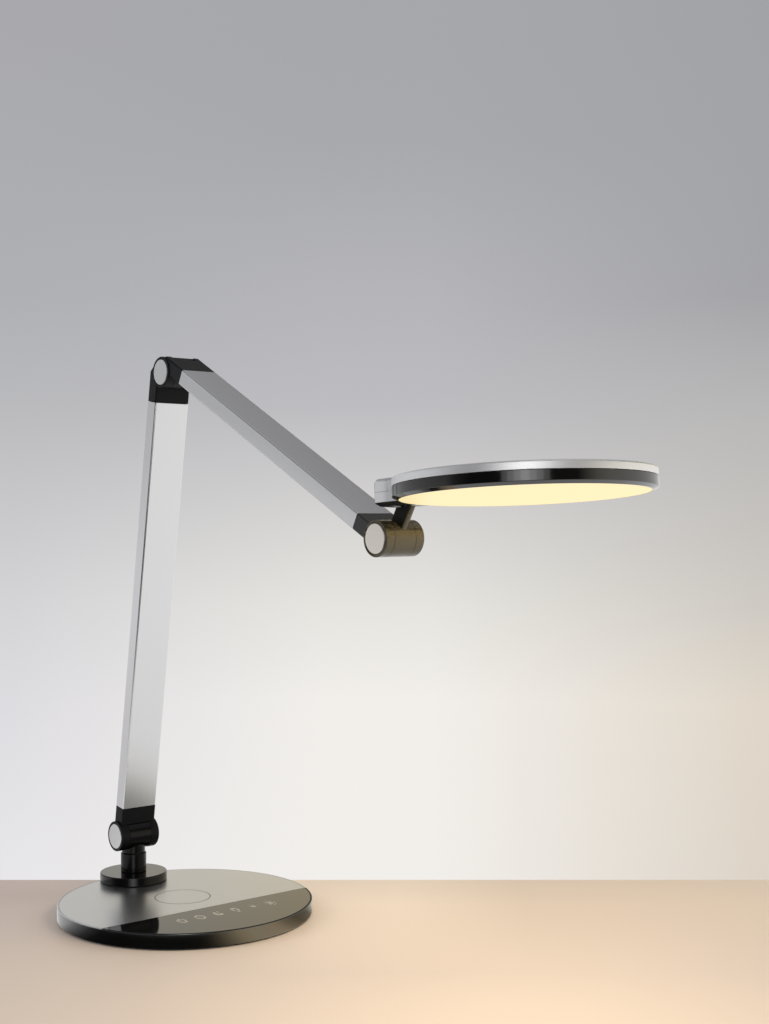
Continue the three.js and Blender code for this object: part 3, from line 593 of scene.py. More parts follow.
# %% Power inlet: moulded body and centre pin
INLET_BORE = 3.1
BORE_DEPTH = 10
PIN_RADIUS = 0.8
PIN_TIP = -5.4
AXIS_Y = Matrix.Rotation(-pi / 2, 4, "X")
inlet_place = moved(INLET_SIDE, INLET_BACK, (INLET_LOW + INLET_HIGH) / 2)
inlet_rise = (INLET_HIGH - INLET_LOW) / 2
inlet = as_object(box(-INLET_HALF, INLET_HALF, -INLET_DEPTH, 0, -inlet_rise, inlet_rise))
cut(inlet, rod(INLET_BORE, -BORE_DEPTH, OVERRUN, BORE_SIDES), AXIS_Y)
dress("inlet_body", inlet, inlet_place, "base", matte_black, ["dc_socket"], bevel=0.2)
pin_profile = [(0, -BORE_DEPTH - 0.1), (PIN_RADIUS, -BORE_DEPTH - 0.1),
               (PIN_RADIUS, PIN_TIP, 0.4), (0, PIN_TIP)]
dress("inlet_pin", turned(pin_profile, MARK_SIDES), inlet_place @ AXIS_Y, "base", zinc)

# %% [markdown]
# The thin ring on the silver plate shows where a phone is laid. The six touch marks are plain
# symbols for power, time, night, bulb, dim and bright. All are prints, so they are flat rings,
# bars and discs a fiftieth of a millimetre thick. An image could show them too, but shapes stay
# sharp at any distance.

# %% Printed bands, bars and discs
PRINT = 0.02


def arc_band(radius, width, start=0.0, end=360.0, middle=(0, 0)):
    """A flat ring or part of one, between two angles in degrees."""
    form = bmesh.new()
    whole = end - start >= 360
    steps = max(6, int((end - start) / 6))
    inner, outer = radius - width / 2, radius + width / 2
    rows = []
    for i in range(steps if whole else steps + 1):
        angle = radians(start + (end - start) * i / steps)
        x, y = cos(angle), sin(angle)
        rows.append([form.verts.new((middle[0] + r * x, middle[1] + r * y, height))
                     for r, height in ((inner, 0), (outer, 0), (outer, PRINT), (inner, PRINT))])
    return skinned(form, rows, closed=whole)


def bar_mark(x, y, length, width, angle=0.0):
    form = slab(length, width, width / 2.01, 0, PRINT)
    form.transform(moved(x, y, 0) @ Matrix.Rotation(radians(angle), 4, "Z"))
    return form


def disc_mark(radius, x=0, y=0):
    form = rod(radius, 0, PRINT, MARK_SIDES)
    form.transform(moved(x, y, 0))
    return form


# %% Marks of several shapes


def gathered(forms):
    """Several closed forms in one mesh."""
    whole = bmesh.new()
    for form in forms:
        mesh = bpy.data.meshes.new("part")
        form.to_mesh(mesh)
        form.free()
        whole.from_mesh(mesh)
        bpy.data.meshes.remove(mesh)
    return whole


def sun(radius, rays, reach):
    marks = [disc_mark(radius)]
    for i in range(rays):
        angle = 360 * i / rays
        middle = radius + 0.6 + reach / 2
        marks.append(bar_mark(middle * cos(radians(angle)),
                              middle * sin(radians(angle)), reach, 1.1, angle))
    return marks


# %% Printed ring and touch marks
touch_marks = [
    ("power", [arc_band(2.5, 1.3, 125, 415), bar_mark(0, 2.1, 3, 1.2, 90)]),
    ("time", [arc_band(2.7, 1.2), bar_mark(0, 0.7, 1.9, 1, 90), bar_mark(0.7, 0, 1.5, 1)]),
    ("night", [arc_band(1.9, 2.3, 100, 350), disc_mark(0.7, 2, 2.2)]),
    ("bulb", [arc_band(1.9, 1.6, -55, 235, (0, 0.7)), bar_mark(0, -2, 2.6, 0.8),
              bar_mark(0, -3, 1.9, 0.8)]),
    ("dim", sun(1.5, 8, 0.9)),
    ("bright", sun(1.9, 8, 1.3)),
]
MARK_ROW = -53
MARK_STEP = 16.2
MARK_SIZE = Matrix.Diagonal((1.15, 1.8, 1, 1))
for i, (word, marks) in enumerate(touch_marks):
    spot = moved((i - 2.5) * MARK_STEP + 3.5, MARK_ROW, BASE_TOP) @ MARK_SIZE
    dress(f"touch_mark_{word}", gathered(marks), spot, "base", mark_grey)
ring_spot = moved(1.3, 6.9, BASE_TOP)
dress("charge_ring", arc_band(21.9, 0.7), ring_spot, "base", ring_grey)

# %% [markdown]
# ## Turntable and post
#
# The arm stands on a small gloss turntable near the back of the base. Its post narrows under a
# round barrel, the middle knuckle of the lower hinge.

# %% Turntable disc
TURNTABLE_RADIUS = 27.5
TURNTABLE_BOTTOM = 12.7
TURNTABLE_TOP = 19.6
SPINDLE_BORE = 5.3
disc_profile = [
    (SPINDLE_BORE, TURNTABLE_BOTTOM), (TURNTABLE_RADIUS, TURNTABLE_BOTTOM, 0.4),
    (TURNTABLE_RADIUS, TURNTABLE_TOP, 0.9), (SPINDLE_BORE, TURNTABLE_TOP),
]
dress("turntable", turned(disc_profile, DISC_SIDES), on_swivel, "turntable", disc_black,
      ["turntable_disc"])

# %% [markdown]
# The post could be one turned profile, but its barrel lies across it. So post and barrel are
# turned apart and joined, and the bores for the bolt and for the leads are cut last. The barrel
# comes from a helper, because every hinge has one.

# %% Barrels and bores of a hinge
BARREL_RADIUS = 12.3
BOLT_HOLE = 4.4


def barrel(half, edge=0.2):
    return turned([(0, -half), (BARREL_RADIUS, -half, edge), (BARREL_RADIUS, half, edge),
                   (0, half)])


# %% Post with the lower knuckle
LOWER_KNUCKLE = 10
POST_BOTTOM = TURNTABLE_TOP + SEAT
POST_RADIUS = 10.5
POST_TOP = lower_hinge.z - 2
NECK_RADIUS = 9.5
NECK_BOTTOM = lower_hinge.z - BARREL_RADIUS - 2.4
SPINDLE_DEPTH = 12.3
post_profile = [
    (0, POST_BOTTOM), (POST_RADIUS, POST_BOTTOM, 0.3), (POST_RADIUS, NECK_BOTTOM - 0.9, 0.4),
    (NECK_RADIUS, NECK_BOTTOM, 0.3), (NECK_RADIUS, POST_TOP), (0, POST_TOP),
]
post = as_object(turned(post_profile), moved(0, 0, -lower_hinge.z))
weld(post, barrel(LOWER_KNUCKLE), ACROSS)
cut(post, rod(BOLT_HOLE, -FAR, FAR, BORE_SIDES), ACROSS)
cut(post, rod(SPINDLE_BORE, -FAR, POST_BOTTOM + SPINDLE_DEPTH - lower_hinge.z, BORE_SIDES))
dress("lamp_post", post, Matrix.Translation(lower_hinge), "turntable", post_black,
      ["post"], bevel=0.15)

# %% [markdown]
# ## Forks
#
# Three hinges hold the arm. The fork of each has two ears round a middle knuckle, and a body
# that plugs into the flat tube. The ears are bored for the caps, the bolt and its nut. A rim on
# each ear hides the washer, so only a fine seam shows between the ear and the knuckle. One
# function makes all three, because only a few of their measures differ. RUNNING is the gap
# between pieces that turn.

# %% One fork
RUNNING = 0.5
HINGE_GAP = 1.1
ARM_WIDTH = 31.2
ARM_THICKNESS = 12.2
ARM_CORNER = 1.4
ARM_WALL = 1.3
PLUG_LENGTH = 14
INNER_WIDTH = ARM_WIDTH - 2 * ARM_WALL
INNER_THICKNESS = ARM_THICKNESS - 2 * ARM_WALL
CAP_RADIUS = 10
CAP_THICKNESS = 1.5
CAP_PROUD = 0.4
RIM_RADIUS = 10.2
SEAM = 0.2
HEAD_POCKET = 6.9
NUT_POCKET = 7.3
SHANK_HOLE = 4.2
LIFTED_GAP = 5


def plug(lift, reach):
    return slab(INNER_WIDTH - 2 * SEAT, INNER_THICKNESS - 2 * SEAT, ARM_CORNER / 2,
                reach - SEAT, reach + PLUG_LENGTH, 0.5, (0, lift))


def fork(half, knuckle_half, lift, reach):
    inner = knuckle_half + HINGE_GAP
    body = as_object(slab(ARM_WIDTH, ARM_THICKNESS, ARM_CORNER, -0.5, reach, 0.2, (0, lift)))
    gap_top = LIFTED_GAP if lift else SEAT
    cut(body, box(-FAR, FAR, -FAR, FAR, -FAR, 0))
    cut(body, rod(BARREL_RADIUS + RUNNING, -inner, inner), ACROSS)
    cut(body, box(-inner, inner, -FAR, FAR, -FAR, gap_top))
    weld(body, plug(lift, reach))
    for side in (-1, 1):
        ear = turned([(0, inner), (RIM_RADIUS, inner), (RIM_RADIUS, inner - HINGE_GAP + SEAM),
                      (BARREL_RADIUS, inner - HINGE_GAP + SEAM, 0.2), (BARREL_RADIUS, half, 0.6),
                      (0, half)])
        weld(body, ear, sideways(side))
    cap_floor = half + CAP_PROUD - CAP_THICKNESS - SEAT
    for side in (-1, 1):
        pocket = HEAD_POCKET if side < 0 else NUT_POCKET
        cut(body, rod(CAP_RADIUS + SEAT, cap_floor, half + OVERRUN), sideways(side))
        cut(body, rod(pocket, cap_floor - 3, cap_floor + SEAT, BORE_SIDES), sideways(side))
    cut(body, rod(SHANK_HOLE, -half, half, BORE_SIDES), ACROSS)
    return body


# %% The three forks
LOWER_HALF = 17.4
ARM_HALF = 16.3
ARM_KNUCKLE = 9
SOCKET_REACH = 24.5
ELBOW_FORK_REACH = 27.5
UPPER_LIFT = 7.5
dress("fork_on_post", fork(LOWER_HALF, LOWER_KNUCKLE, 0, SOCKET_REACH), lower_frame,
      "lower_arm", arm_black, ["lower_fork"], bevel=0.2)
dress("fork_at_elbow", fork(ARM_HALF, ARM_KNUCKLE, UPPER_LIFT, ELBOW_FORK_REACH), upper_frame,
      "upper_arm", arm_black, ["elbow_fork"], bevel=0.2)
# The head's fork gets the black with painted warm lamplight; off its barrel it takes socket black.
head_end_fork = dress("fork_at_head", fork(ARM_HALF, ARM_KNUCKLE, 0, SOCKET_REACH),
                      head_end_frame, "upper_arm", lamp_lit_black, ["head_fork"], bevel=0.2)


def off_head_barrel(place):
    """How far a place in metres lies outside the round barrel at the head, in millimetres."""
    reach = place / MM - head_hinge
    return hypot(reach.y, reach.z) - BARREL_RADIUS


# Faces off the barrel take socket black, so the painted warm lamplight stays on the barrel.
second_finish(head_end_fork, socket_black, lambda centre, normal: off_head_barrel(centre) > SEAT)

# %% [markdown]
# The elbow's knuckle stands in front of the lower tube, so that the two arms can fold side by
# side. Behind it the socket ends in a sloped shoulder, which leaves the upper arm its room.

# %% Elbow knuckle
ELBOW_SET_BACK = 11.2
ELBOW_SHOULDER = 6.6
SHOULDER_DROP = 1.6
SHOULDER_BACK = -ELBOW_SET_BACK - ARM_THICKNESS / 2
slope_top = SHOULDER_BACK + ELBOW_SHOULDER + SHOULDER_DROP
shoulder_outline = eased([
    (0, SOCKET_REACH), (0, -ELBOW_SHOULDER), (slope_top, -ELBOW_SHOULDER, 1),
    (SHOULDER_BACK, SHOULDER_DROP, 2.5), (SHOULDER_BACK, SOCKET_REACH),
], closed=True)
knuckle = as_object(slab(ARM_WIDTH, ARM_THICKNESS, ARM_CORNER, -ELBOW_SHOULDER, SOCKET_REACH,
                         0.2, (0, -ELBOW_SET_BACK)))
combine(knuckle, prism(shoulder_outline, -FAR, FAR), "INTERSECT")
for side in (-1, 1):
    cut(knuckle, rod(BARREL_RADIUS + RUNNING, ARM_KNUCKLE, FAR), sideways(side))
weld(knuckle, barrel(ARM_KNUCKLE), ACROSS)
weld(knuckle, plug(-ELBOW_SET_BACK, SOCKET_REACH))
cut(knuckle, rod(BOLT_HOLE, -FAR, FAR, BORE_SIDES), ACROSS)
dress("knuckle_at_elbow", knuckle, elbow_down_frame, "lower_arm", arm_black,
      ["elbow_knuckle"], bevel=0.2)

# %% [markdown]
# ## Tubes
#
# Both arm tubes are flat aluminium extrusions with small outer corners. A solid bar would look
# the same, but a real tube is hollow for its lead, so a second slab is cut out of the first.

# %% Hollow arm tubes
LOWER_LENGTH = 385.4
UPPER_LENGTH = 296.4


def arm_tube(name, start, end, lift, place, body, material, node):
    tube = as_object(slab(ARM_WIDTH, ARM_THICKNESS, ARM_CORNER, start, end, 0.15, (0, lift)))
    cut(tube, slab(INNER_WIDTH, INNER_THICKNESS, ARM_CORNER / 2, start - 5, end + 5, 0, (0, lift)))
    return dress(name, tube, place, body, material, [node])


TUBE_END = SOCKET_REACH + SEAT
arm_tube("lower_arm_tube", TUBE_END, LOWER_LENGTH - TUBE_END, 0, lower_frame, "lower_arm",
         lower_silver, "lower_tube")
# The upper tube takes the darker copy of the tube silver, a painted shade.
arm_tube("upper_arm_tube", ELBOW_FORK_REACH + SEAT, UPPER_LENGTH - TUBE_END, UPPER_LIFT,
         upper_frame, "upper_arm", upper_shaded_silver, "upper_tube")

# %% [markdown]
# A silver cap closes each end of each hinge. It is a turned disc with a thin bevelled rim and
# a slightly crowned face, so the light slides across it when the arm moves.

# %% Caps
CROWN = 0.12
CAP_FACE = CAP_RADIUS - 0.35


def cap(half, side):
    inner = half + CAP_PROUD - CAP_THICKNESS
    outer = half + CAP_PROUD
    profile = [(0, inner), (CAP_RADIUS, inner, 0.15), (CAP_RADIUS, outer - 0.35, 0.1),
               (CAP_FACE, outer - CROWN, 0.1)]
    for i in range(6, -1, -1):
        share = i / 7
        profile.append((share * CAP_FACE, outer - CROWN * share * share))
    form = turned(profile, CAP_SIDES)
    form.transform(sideways(side))
    return form


for hinge, half, place, body, material in (
    ("lower_hinge", LOWER_HALF, lower_frame, "lower_arm", cap_silver),
    ("elbow", ARM_HALF, upper_frame, "upper_arm", cap_silver),
    # The head's caps take the lighter, warmer copy of the cap silver: painted light from the lamp
    # head.
    ("head_hinge", ARM_HALF, head_end_frame, "upper_arm", lamp_lit_cap),
):
    for side, word in ((-1, "left"), (1, "right")):
        dress(f"cap_{hinge}_{word}", cap(half, side), place, body, material,
              [f"{hinge}_cap_{word}"])

# %% [markdown]
# ## Head lever
#
# The lever's knuckle turns in the last fork. A flat blade leans forward from it and carries a
# short spindle, on which the whole head swivels.

# %% Lever with blade and spindle
LEVER_THICKNESS = 5.4
LEVER_DEPTH = 13.4
LEVER_CORNER = 2
LEVER_LEAN = radians(30)
BLADE_LENGTH = 42
SPINDLE_RADIUS = 3.4
FOOT = 0.6
BRACKET_FOOT = 2.1
BRACKET_FLOOR = 2
WASHER_THICKNESS = 0.8
NUT_THICKNESS = 2.6
NUT_SEAT = FOOT + BRACKET_FOOT + SEAT + BRACKET_FLOOR
NUT_TOP = NUT_SEAT + SEAT + WASHER_THICKNESS + SEAT + NUT_THICKNESS
lever = as_object(barrel(ARM_KNUCKLE), ACROSS)
blade = as_object(slab(LEVER_THICKNESS, LEVER_DEPTH, LEVER_CORNER, 0, BLADE_LENGTH),
                  Matrix.Rotation(LEVER_LEAN, 4, "X"))
to_hinge = Matrix.Translation(-head_hinge)
cut(blade, box(-FAR, FAR, SWIVEL_RADIUS - FAR, SWIVEL_RADIUS + FAR, FOOT - RUNNING, FAR),
    to_hinge @ head_frame)
weld(lever, blade)
weld(lever, rod(SPINDLE_RADIUS, FOOT - RUNNING - SEAT, NUT_TOP, BORE_SIDES),
     to_hinge @ head_frame @ moved(0, SWIVEL_RADIUS, 0))
cut(lever, rod(BOLT_HOLE, -FAR, FAR, BORE_SIDES), ACROSS)
# The lever's black has painted warm lamplight, and its blade's flat sides get a darker black,
# painted shade.
lever_piece = dress("lever_blade", lever, Matrix.Translation(head_hinge), "head_tilt",
                    lamp_lit_black, ["head_lever"], bevel=0.15)
second_finish(lever_piece, blade_shaded_black,
              lambda centre, normal: abs(normal.x) > 0.9 and off_head_barrel(centre) > 0)

# %% [markdown]
# ## Bracket
#
# The block between lever and head has three layers: a thin black foot with sloped sides, and
# two silver halves with a fine seam between them. Its sides curve in towards the back, and its
# top edge is well rounded. All three layers are cut round to fit the head.

# %% Bracket outline
BRACKET_WIDTH = 31.6
BRACKET_REACH = 26.8
BRACKET_TAPER = 3.6
BRACKET_SEAM = 9.6
BRACKET_TOP = 18.8
BRACKET_CROWN = 3.2
FINE_SEAM = 0.14
NECK_LINE = HEAD_RADIUS + 12
bracket_side = BRACKET_WIDTH / 2
bracket_front = HEAD_RADIUS - BRACKET_REACH
bracket_back = HEAD_RADIUS + BRACKET_REACH
REAR_SIDE = bracket_side - 1.9
bracket_corners = [
    (-bracket_side, bracket_front, 1), (bracket_side, bracket_front, 1),
    (bracket_side, NECK_LINE + 3, 24), (REAR_SIDE, bracket_back, 6),
    (-REAR_SIDE, bracket_back, 6), (-bracket_side, NECK_LINE + 3, 24),
]


def bracket_layer(levels):
    layer = as_object(stack(bracket_corners, levels))
    cut(layer, rod(HEAD_RADIUS + SEAT, -FAR, FAR, RIM_SIDES))
    return layer


def swivel_bore(radius, bottom, top):
    form = rod(radius, bottom, top, BORE_SIDES)
    form.transform(moved(0, SWIVEL_RADIUS, 0))
    return form


# %% [markdown]
# The foot is the thin black layer under the silver. Its lower outline is smaller than the upper
# one, so its sides slope, and a bore lets the spindle through.

# %% Black foot of the bracket
BRACKET_BORE = 3.9
foot_layer = bracket_layer([(BRACKET_TAPER, FOOT), (0, FOOT + BRACKET_FOOT)])
cut(foot_layer, swivel_bore(BRACKET_BORE, -FAR, FAR))
dress("bracket_foot", foot_layer, head_frame, "head", foot_black, ["bracket_base"], bevel=0.12)

# %% [markdown]
# The two halves could be one block with a dark line, but a real seam is a gap that holds shadow.
# So there are two pieces. They have a pocket for the nut and a fine groove round the neck, and
# the lower one takes the two lugs of the black ring.

# %% Silver halves of the bracket
LUG_SIDE = 11.6
LUG_HALF = 2.5
LUG_LENGTH = 15
LUG_BOTTOM = 5.4
LUG_TOP = 8.1


def lug(side, front, gap=0.0):
    """A lug of the black ring, or with a gap the pocket for it."""
    middle = side * LUG_SIDE
    half = LUG_HALF + gap
    return box(middle - half, middle + half, front, HEAD_RADIUS + LUG_LENGTH + gap,
               LUG_BOTTOM - gap, LUG_TOP + gap)


bracket_split = BRACKET_SEAM + SEAT / 2
lower_half = bracket_layer(rounded_ends(FOOT + BRACKET_FOOT + SEAT,
                                        bracket_split - FINE_SEAM / 2, 0.1))
upper_half = bracket_layer(rounded_top(bracket_split + FINE_SEAM / 2, BRACKET_TOP, BRACKET_CROWN))
GROOVE = 0.3
for half_piece in (lower_half, upper_half):
    cut(half_piece, swivel_bore(NUT_POCKET, NUT_SEAT, NUT_TOP + RUNNING))
    cut(half_piece, swivel_bore(BRACKET_BORE, -FAR, NUT_TOP))
    for side in (-1, 1):
        groove_left, groove_right = sorted((side * (bracket_side - GROOVE), side * FAR))
        cut(half_piece, box(groove_left, groove_right, NECK_LINE - GROOVE, NECK_LINE, 0, FAR))
cut(upper_half, box(-FAR, FAR, NECK_LINE - GROOVE, NECK_LINE, BRACKET_TOP - GROOVE, FAR))
for side in (-1, 1):
    cut(lower_half, lug(side, HEAD_RADIUS - 5, SEAT))
for word, half_piece in (("lower", lower_half), ("upper", upper_half)):
    dress(f"bracket_{word}_half", half_piece, head_frame, "head", head_silver,
          [f"bracket_{word}"], bevel=0.08)

# %% [markdown]
# ## Round head
#
# The head is two rings deep: a black one below with a narrow bevel round the diffuser, and a
# silver lid above with a rounded top edge. Both are turned with many sides, because the bands
# of light along them show every facet.

# %% Black ring
HEAD_SPLIT = 8.4
LEDGE = HEAD_RADIUS - 1.9
DIFFUSER_RADIUS = 77.9
RING_INSIDE = DIFFUSER_RADIUS + SEAT
RING_TOP = HEAD_SPLIT - SEAT
ring_profile = [
    (RING_INSIDE, 0), (RING_INSIDE + 0.6, 0, 0.2), (HEAD_RADIUS, 1.8, 0.5),
    (HEAD_RADIUS, RING_TOP, 0.15), (LEDGE, RING_TOP), (LEDGE, 1), (RING_INSIDE, 1),
]
ring = as_object(turned(ring_profile, RIM_SIDES))
for side in (-1, 1):
    weld(ring, lug(side, HEAD_RADIUS - 1.4))
dress("black_ring", ring, head_frame, "head", gloss_black, ["head_ring"])

# %% [markdown]
# The lid is a shallow turned bowl, upside down. Its top edge has a larger radius than the other
# edges, because a long soft light runs round it there.

# %% Silver lid
HEAD_TOP = 13.7
LID_CEILING = 12.1
lid_profile = [
    (0, LID_CEILING), (LEDGE, LID_CEILING), (LEDGE, HEAD_SPLIT),
    (HEAD_RADIUS, HEAD_SPLIT, 0.15), (HEAD_RADIUS, HEAD_TOP, 1.4), (0, HEAD_TOP),
]
dress("silver_lid", turned(lid_profile, RIM_SIDES), head_frame, "head", lid_silver, ["head_cover"])

# %% [markdown]
# The diffuser is a disc of milky plastic with a step that rests in the ring. Light from its
# material makes it evenly bright, which a lamp behind clear plastic wouldn't.

# %% Opal diffuser
OPAL_STEP = 1.3
OPAL_TOP = 2.8
opal_profile = [
    (0, 0), (DIFFUSER_RADIUS, 0, 0.2), (DIFFUSER_RADIUS, OPAL_STEP),
    (LEDGE - SEAT, OPAL_STEP), (LEDGE - SEAT, OPAL_TOP), (0, OPAL_TOP),
]
opal_disc = dress("opal_disc", turned(opal_profile, RIM_SIDES), head_frame, "head",
                  opal, ["diffuser"])

# %% [markdown]
# ## Pieces kept as packed
#
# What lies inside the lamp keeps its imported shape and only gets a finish: boards, coil, weight,
# bolts, nuts, washers and leads.

# %% Finishes of the kept nodes
kept = {
    matte_black: ["bottom_cover"],
    solder_mask: ["touch_board", "main_board", "led_strip"],
    winding: ["charge_coil"],
    ferrite: ["ferrite_sheet"],
    rubber: ["lower_lead", "upper_lead"],
    clear_acrylic: ["light_guide"],
    white_film: ["reflector"],
    zinc: ["base_weight", "cover_screw_1", "cover_screw_2", "cover_screw_3", "swivel_spindle",
           "swivel_washer", "swivel_nut", "head_washer", "head_nut", "bracket_screw_1",
           "bracket_screw_2"],
    nylon: [],
}
for hinge in ("lower_hinge", "elbow", "head_hinge"):
    kept[zinc] += [f"{hinge}_bolt", f"{hinge}_nut"]
    kept[nylon] += [f"{hinge}_washer_left", f"{hinge}_washer_right"]
for material, names in kept.items():
    for name in names:
        for slot in nodes[name].material_slots:
            slot.material = material
print(sum(len(names) for names in kept.values()), "nodes kept as packed")

# %% [markdown]
# ## Camera
#
# The camera stands level with the lamp's middle, to its left and in front, and looks straight
# ahead. Its place and lens were worked out from the round outlines of the base and the head.

# %% Camera
SENSOR = 36
PICTURE_HEIGHT = 1024
FOCAL_PIXELS = 1496
camera_data = bpy.data.cameras.new("camera")
camera_data.sensor_fit = "VERTICAL"
camera_data.sensor_height = SENSOR
camera_data.sensor_width = SENSOR
camera_data.lens = FOCAL_PIXELS / PICTURE_HEIGHT * SENSOR
camera_data.clip_end = 60
camera = new_object("camera", camera_data)
LOOK_TURN = radians(-39.85)
CAMERA_PLACE = Vector((-0.6396, -1.0122, 0.3190))
camera.location = CAMERA_PLACE
camera.rotation_euler = (pi / 2, 0, LOOK_TURN)
scene.camera = camera
print("lens", round(camera_data.lens, 1), "mm")

# %% [markdown]
# ## Floor, backdrop and light
#
# The floor is a pale top with a painted pool of lamplight, ending just behind the lamp. The world
# is a pale wall.
# Large soft lamps stand in for a studio, and a warm one under the diffuser is the lamp's own
# light. Floor and wall change colour with place or direction, so five helpers build that.

# %% Node helpers for floor and wall
look = Vector((sin(-LOOK_TURN), cos(LOOK_TURN), 0))
right = Vector((look.y, -look.x, 0))


def measure(vector, axis):
    """How far a place lies, or a ray points, along an axis."""
    node = add_node(vector.node.id_data, "VectorMath", {0: vector, 1: axis},
                    operation="DOT_PRODUCT")
    return node.outputs["Value"]


def spread_between(value, low, high):
    """The value stretched so that low becomes 0 and high becomes 1."""
    node = add_node(value.node.id_data, "MapRange", {"Value": value, "From Min": low,
                                                     "From Max": high})
    return node.outputs["Result"]


def shades(value, stops, low=-1, high=1):
    """Colours along a value between low and high, from (value, colour) stops."""
    node = add_node(value.node.id_data, "ValToRGB", {"Fac": spread_between(value, low, high)})
    ramp = node.color_ramp
    while len(ramp.elements) < len(stops):
        ramp.elements.new(0.5)
    for element, (at, color) in zip(ramp.elements, stops):
        element.position = (at - low) / (high - low)
        element.color = (*triple(color), 1)
    return node.outputs["Color"]


def mixed(factor, first, second, blend="MIX"):
    """A mix of two colours. Each of the three may be a socket or a plain value."""
    tree = next(filter(is_socket, (factor, first, second))).node.id_data
    first, second = [value if is_socket(value) else (*value, 1) for value in (first, second)]
    node = add_node(tree, "Mix", {"Factor": factor, "A": first, "B": second},
                    data_type="RGBA", blend_type=blend)
    return node.outputs["Result"]


def chosen(factor, first, second):
    """The first shader where the factor is 0, the second where it is 1."""
    node = add_node(factor.node.id_data, "MixShader", {"Fac": factor, 1: first, 2: second})
    return node.outputs["Shader"]


# %% [markdown]
# The floor is one flat face, laid out along the camera's view. A larger one would be easier,
# but this one ends where a desk top would, and the wall begins behind its edge.

# %% Floor
FLOOR_START = 0.72
FLOOR_END = 1.298
FLOOR_LEFT = -0.6
FLOOR_RIGHT = 0.36
floor_form = bmesh.new()
floor_corners = []
for ahead, beside in ((FLOOR_START, FLOOR_LEFT), (FLOOR_START, FLOOR_RIGHT),
                      (FLOOR_END, FLOOR_RIGHT), (FLOOR_END, FLOOR_LEFT)):
    spot = CAMERA_PLACE + look * ahead + right * beside
    floor_corners.append(floor_form.verts.new((spot.x, spot.y, -0.0002)))
floor_form.faces.new(floor_corners)
floor = as_object(floor_form)
floor.name = "floor"
floor_finish = finish("pale_floor", (0.66, 0.56, 0.48), 0.5, grain=40, tone=0.01, bump=0.0)
floor.data.materials.append(floor_finish)
print("floor", round(FLOOR_RIGHT - FLOOR_LEFT, 2), "m wide")

# %% [markdown]
# The desk gets lighter and warmer to the right of the lamp, a painted pool of the lamp's light.
# So the floor's colour is multiplied by a tint that changes from left to right and fades out in
# front.

# %% Painted lamplight on the floor, from left to right
floor_nodes = floor_finish.node_tree
floor_place = add_node(floor_nodes, "TexCoord").outputs["Object"]
floor_aside = measure(floor_place, right)
floor_along = measure(floor_place, look)
floor_shader = floor_nodes.nodes["Principled BSDF"]
plain_color = floor_shader.inputs["Base Color"].links[0].from_socket
# Painted light: the tint brightens and warms the desk to the right, as the lamp's light would.
painted_lamp_light = shades(floor_aside, [(-0.15, (0.94, 0.92, 0.95)), (0, (1.0, 0.99, 0.98)),
                                  (0.08, (1.42, 1.38, 1.26)), (0.17, (1.42, 1.38, 1.26)),
                                  (0.27, (1.2, 1.15, 1.04))], -0.4, 0.4)
depth_share = spread_between(floor_along, -0.15, 0.03)
lamp_light_tint = mixed(depth_share, (1, 1, 1), painted_lamp_light)
floor_nodes.links.new(mixed(1.0, plain_color, lamp_light_tint, "MULTIPLY"),
                      floor_shader.inputs["Base Color"])
print(len(floor_nodes.nodes), "nodes in the floor's finish")

# %% [markdown]
# Metal beside a coloured floor turns brown. So a glossy ray sees the floor as pale and neutral,
# while the camera still sees its colour and the lamp's shadow on it. The base's gloss wall
# mirrors the ring of floor close to it. There the glow changes with the angle: pale at the
# left, dark in front and warm at the right, like a lit desk in a room that is dark in front.

# %% Floor as gloss sees it
turned_place = add_node(floor_nodes, "CombineXYZ", {"X": measure(floor_place, -look),
                                                    "Y": floor_aside})
round_angle = add_node(floor_nodes, "TexGradient", {"Vector": turned_place.outputs["Vector"]},
                       gradient_type="RADIAL")
glow_round_base = [
    (-180, 0.3), (-100, 0.9), (-78, 1.0), (-70, 0.9), (-64, 0.55), (-57, 0.28), (-50, 0.1),
    (-42, 0.02), (-30, 0.008), (0, 0.012), (8, 0.012), (14, (0.02, 0.018, 0.013)),
    (19, (0.055, 0.047, 0.03)), (24, (0.19, 0.155, 0.1)), (30, (0.46, 0.38, 0.24)),
    (37, (0.85, 0.69, 0.42)), (44, (1.0, 0.83, 0.56)), (60, (1.0, 0.79, 0.51)),
    (68, (0.6, 0.47, 0.3)), (78, (0.3, 0.24, 0.15)), (92, (0.32, 0.28, 0.2)),
    (104, (0.85, 0.8, 0.65)), (180, 0.3),
]
near_glow = shades(round_angle.outputs["Fac"],
                   [(angle / 360 + 0.5, color) for angle, color in glow_round_base], 0, 1)
distance = add_node(floor_nodes, "VectorMath", {0: floor_place}, operation="LENGTH")
far_share = spread_between(distance.outputs["Value"], 0.14, 0.16)
floor_seen = mixed(far_share, near_glow, (0.9, 0.9, 0.9))
pale_glow = add_node(floor_nodes, "Emission", {"Color": floor_seen})
by_gloss = add_node(floor_nodes, "LightPath").outputs["Is Glossy Ray"]
floor_shown = chosen(by_gloss, floor_shader.outputs["BSDF"], pale_glow.outputs["Emission"])
floor_nodes.links.new(floor_shown, floor_nodes.nodes["Material Output"].inputs["Surface"])

# %% [markdown]
# The wall that the camera sees is grey at the top, near white at the bottom, brightest in the
# middle and a little warm on the right. Gloss and metal see a room instead: a bright wall
# behind the lamp, dimmer on the left and darker above, and a dark room in front, which gives
# the black parts their depth.

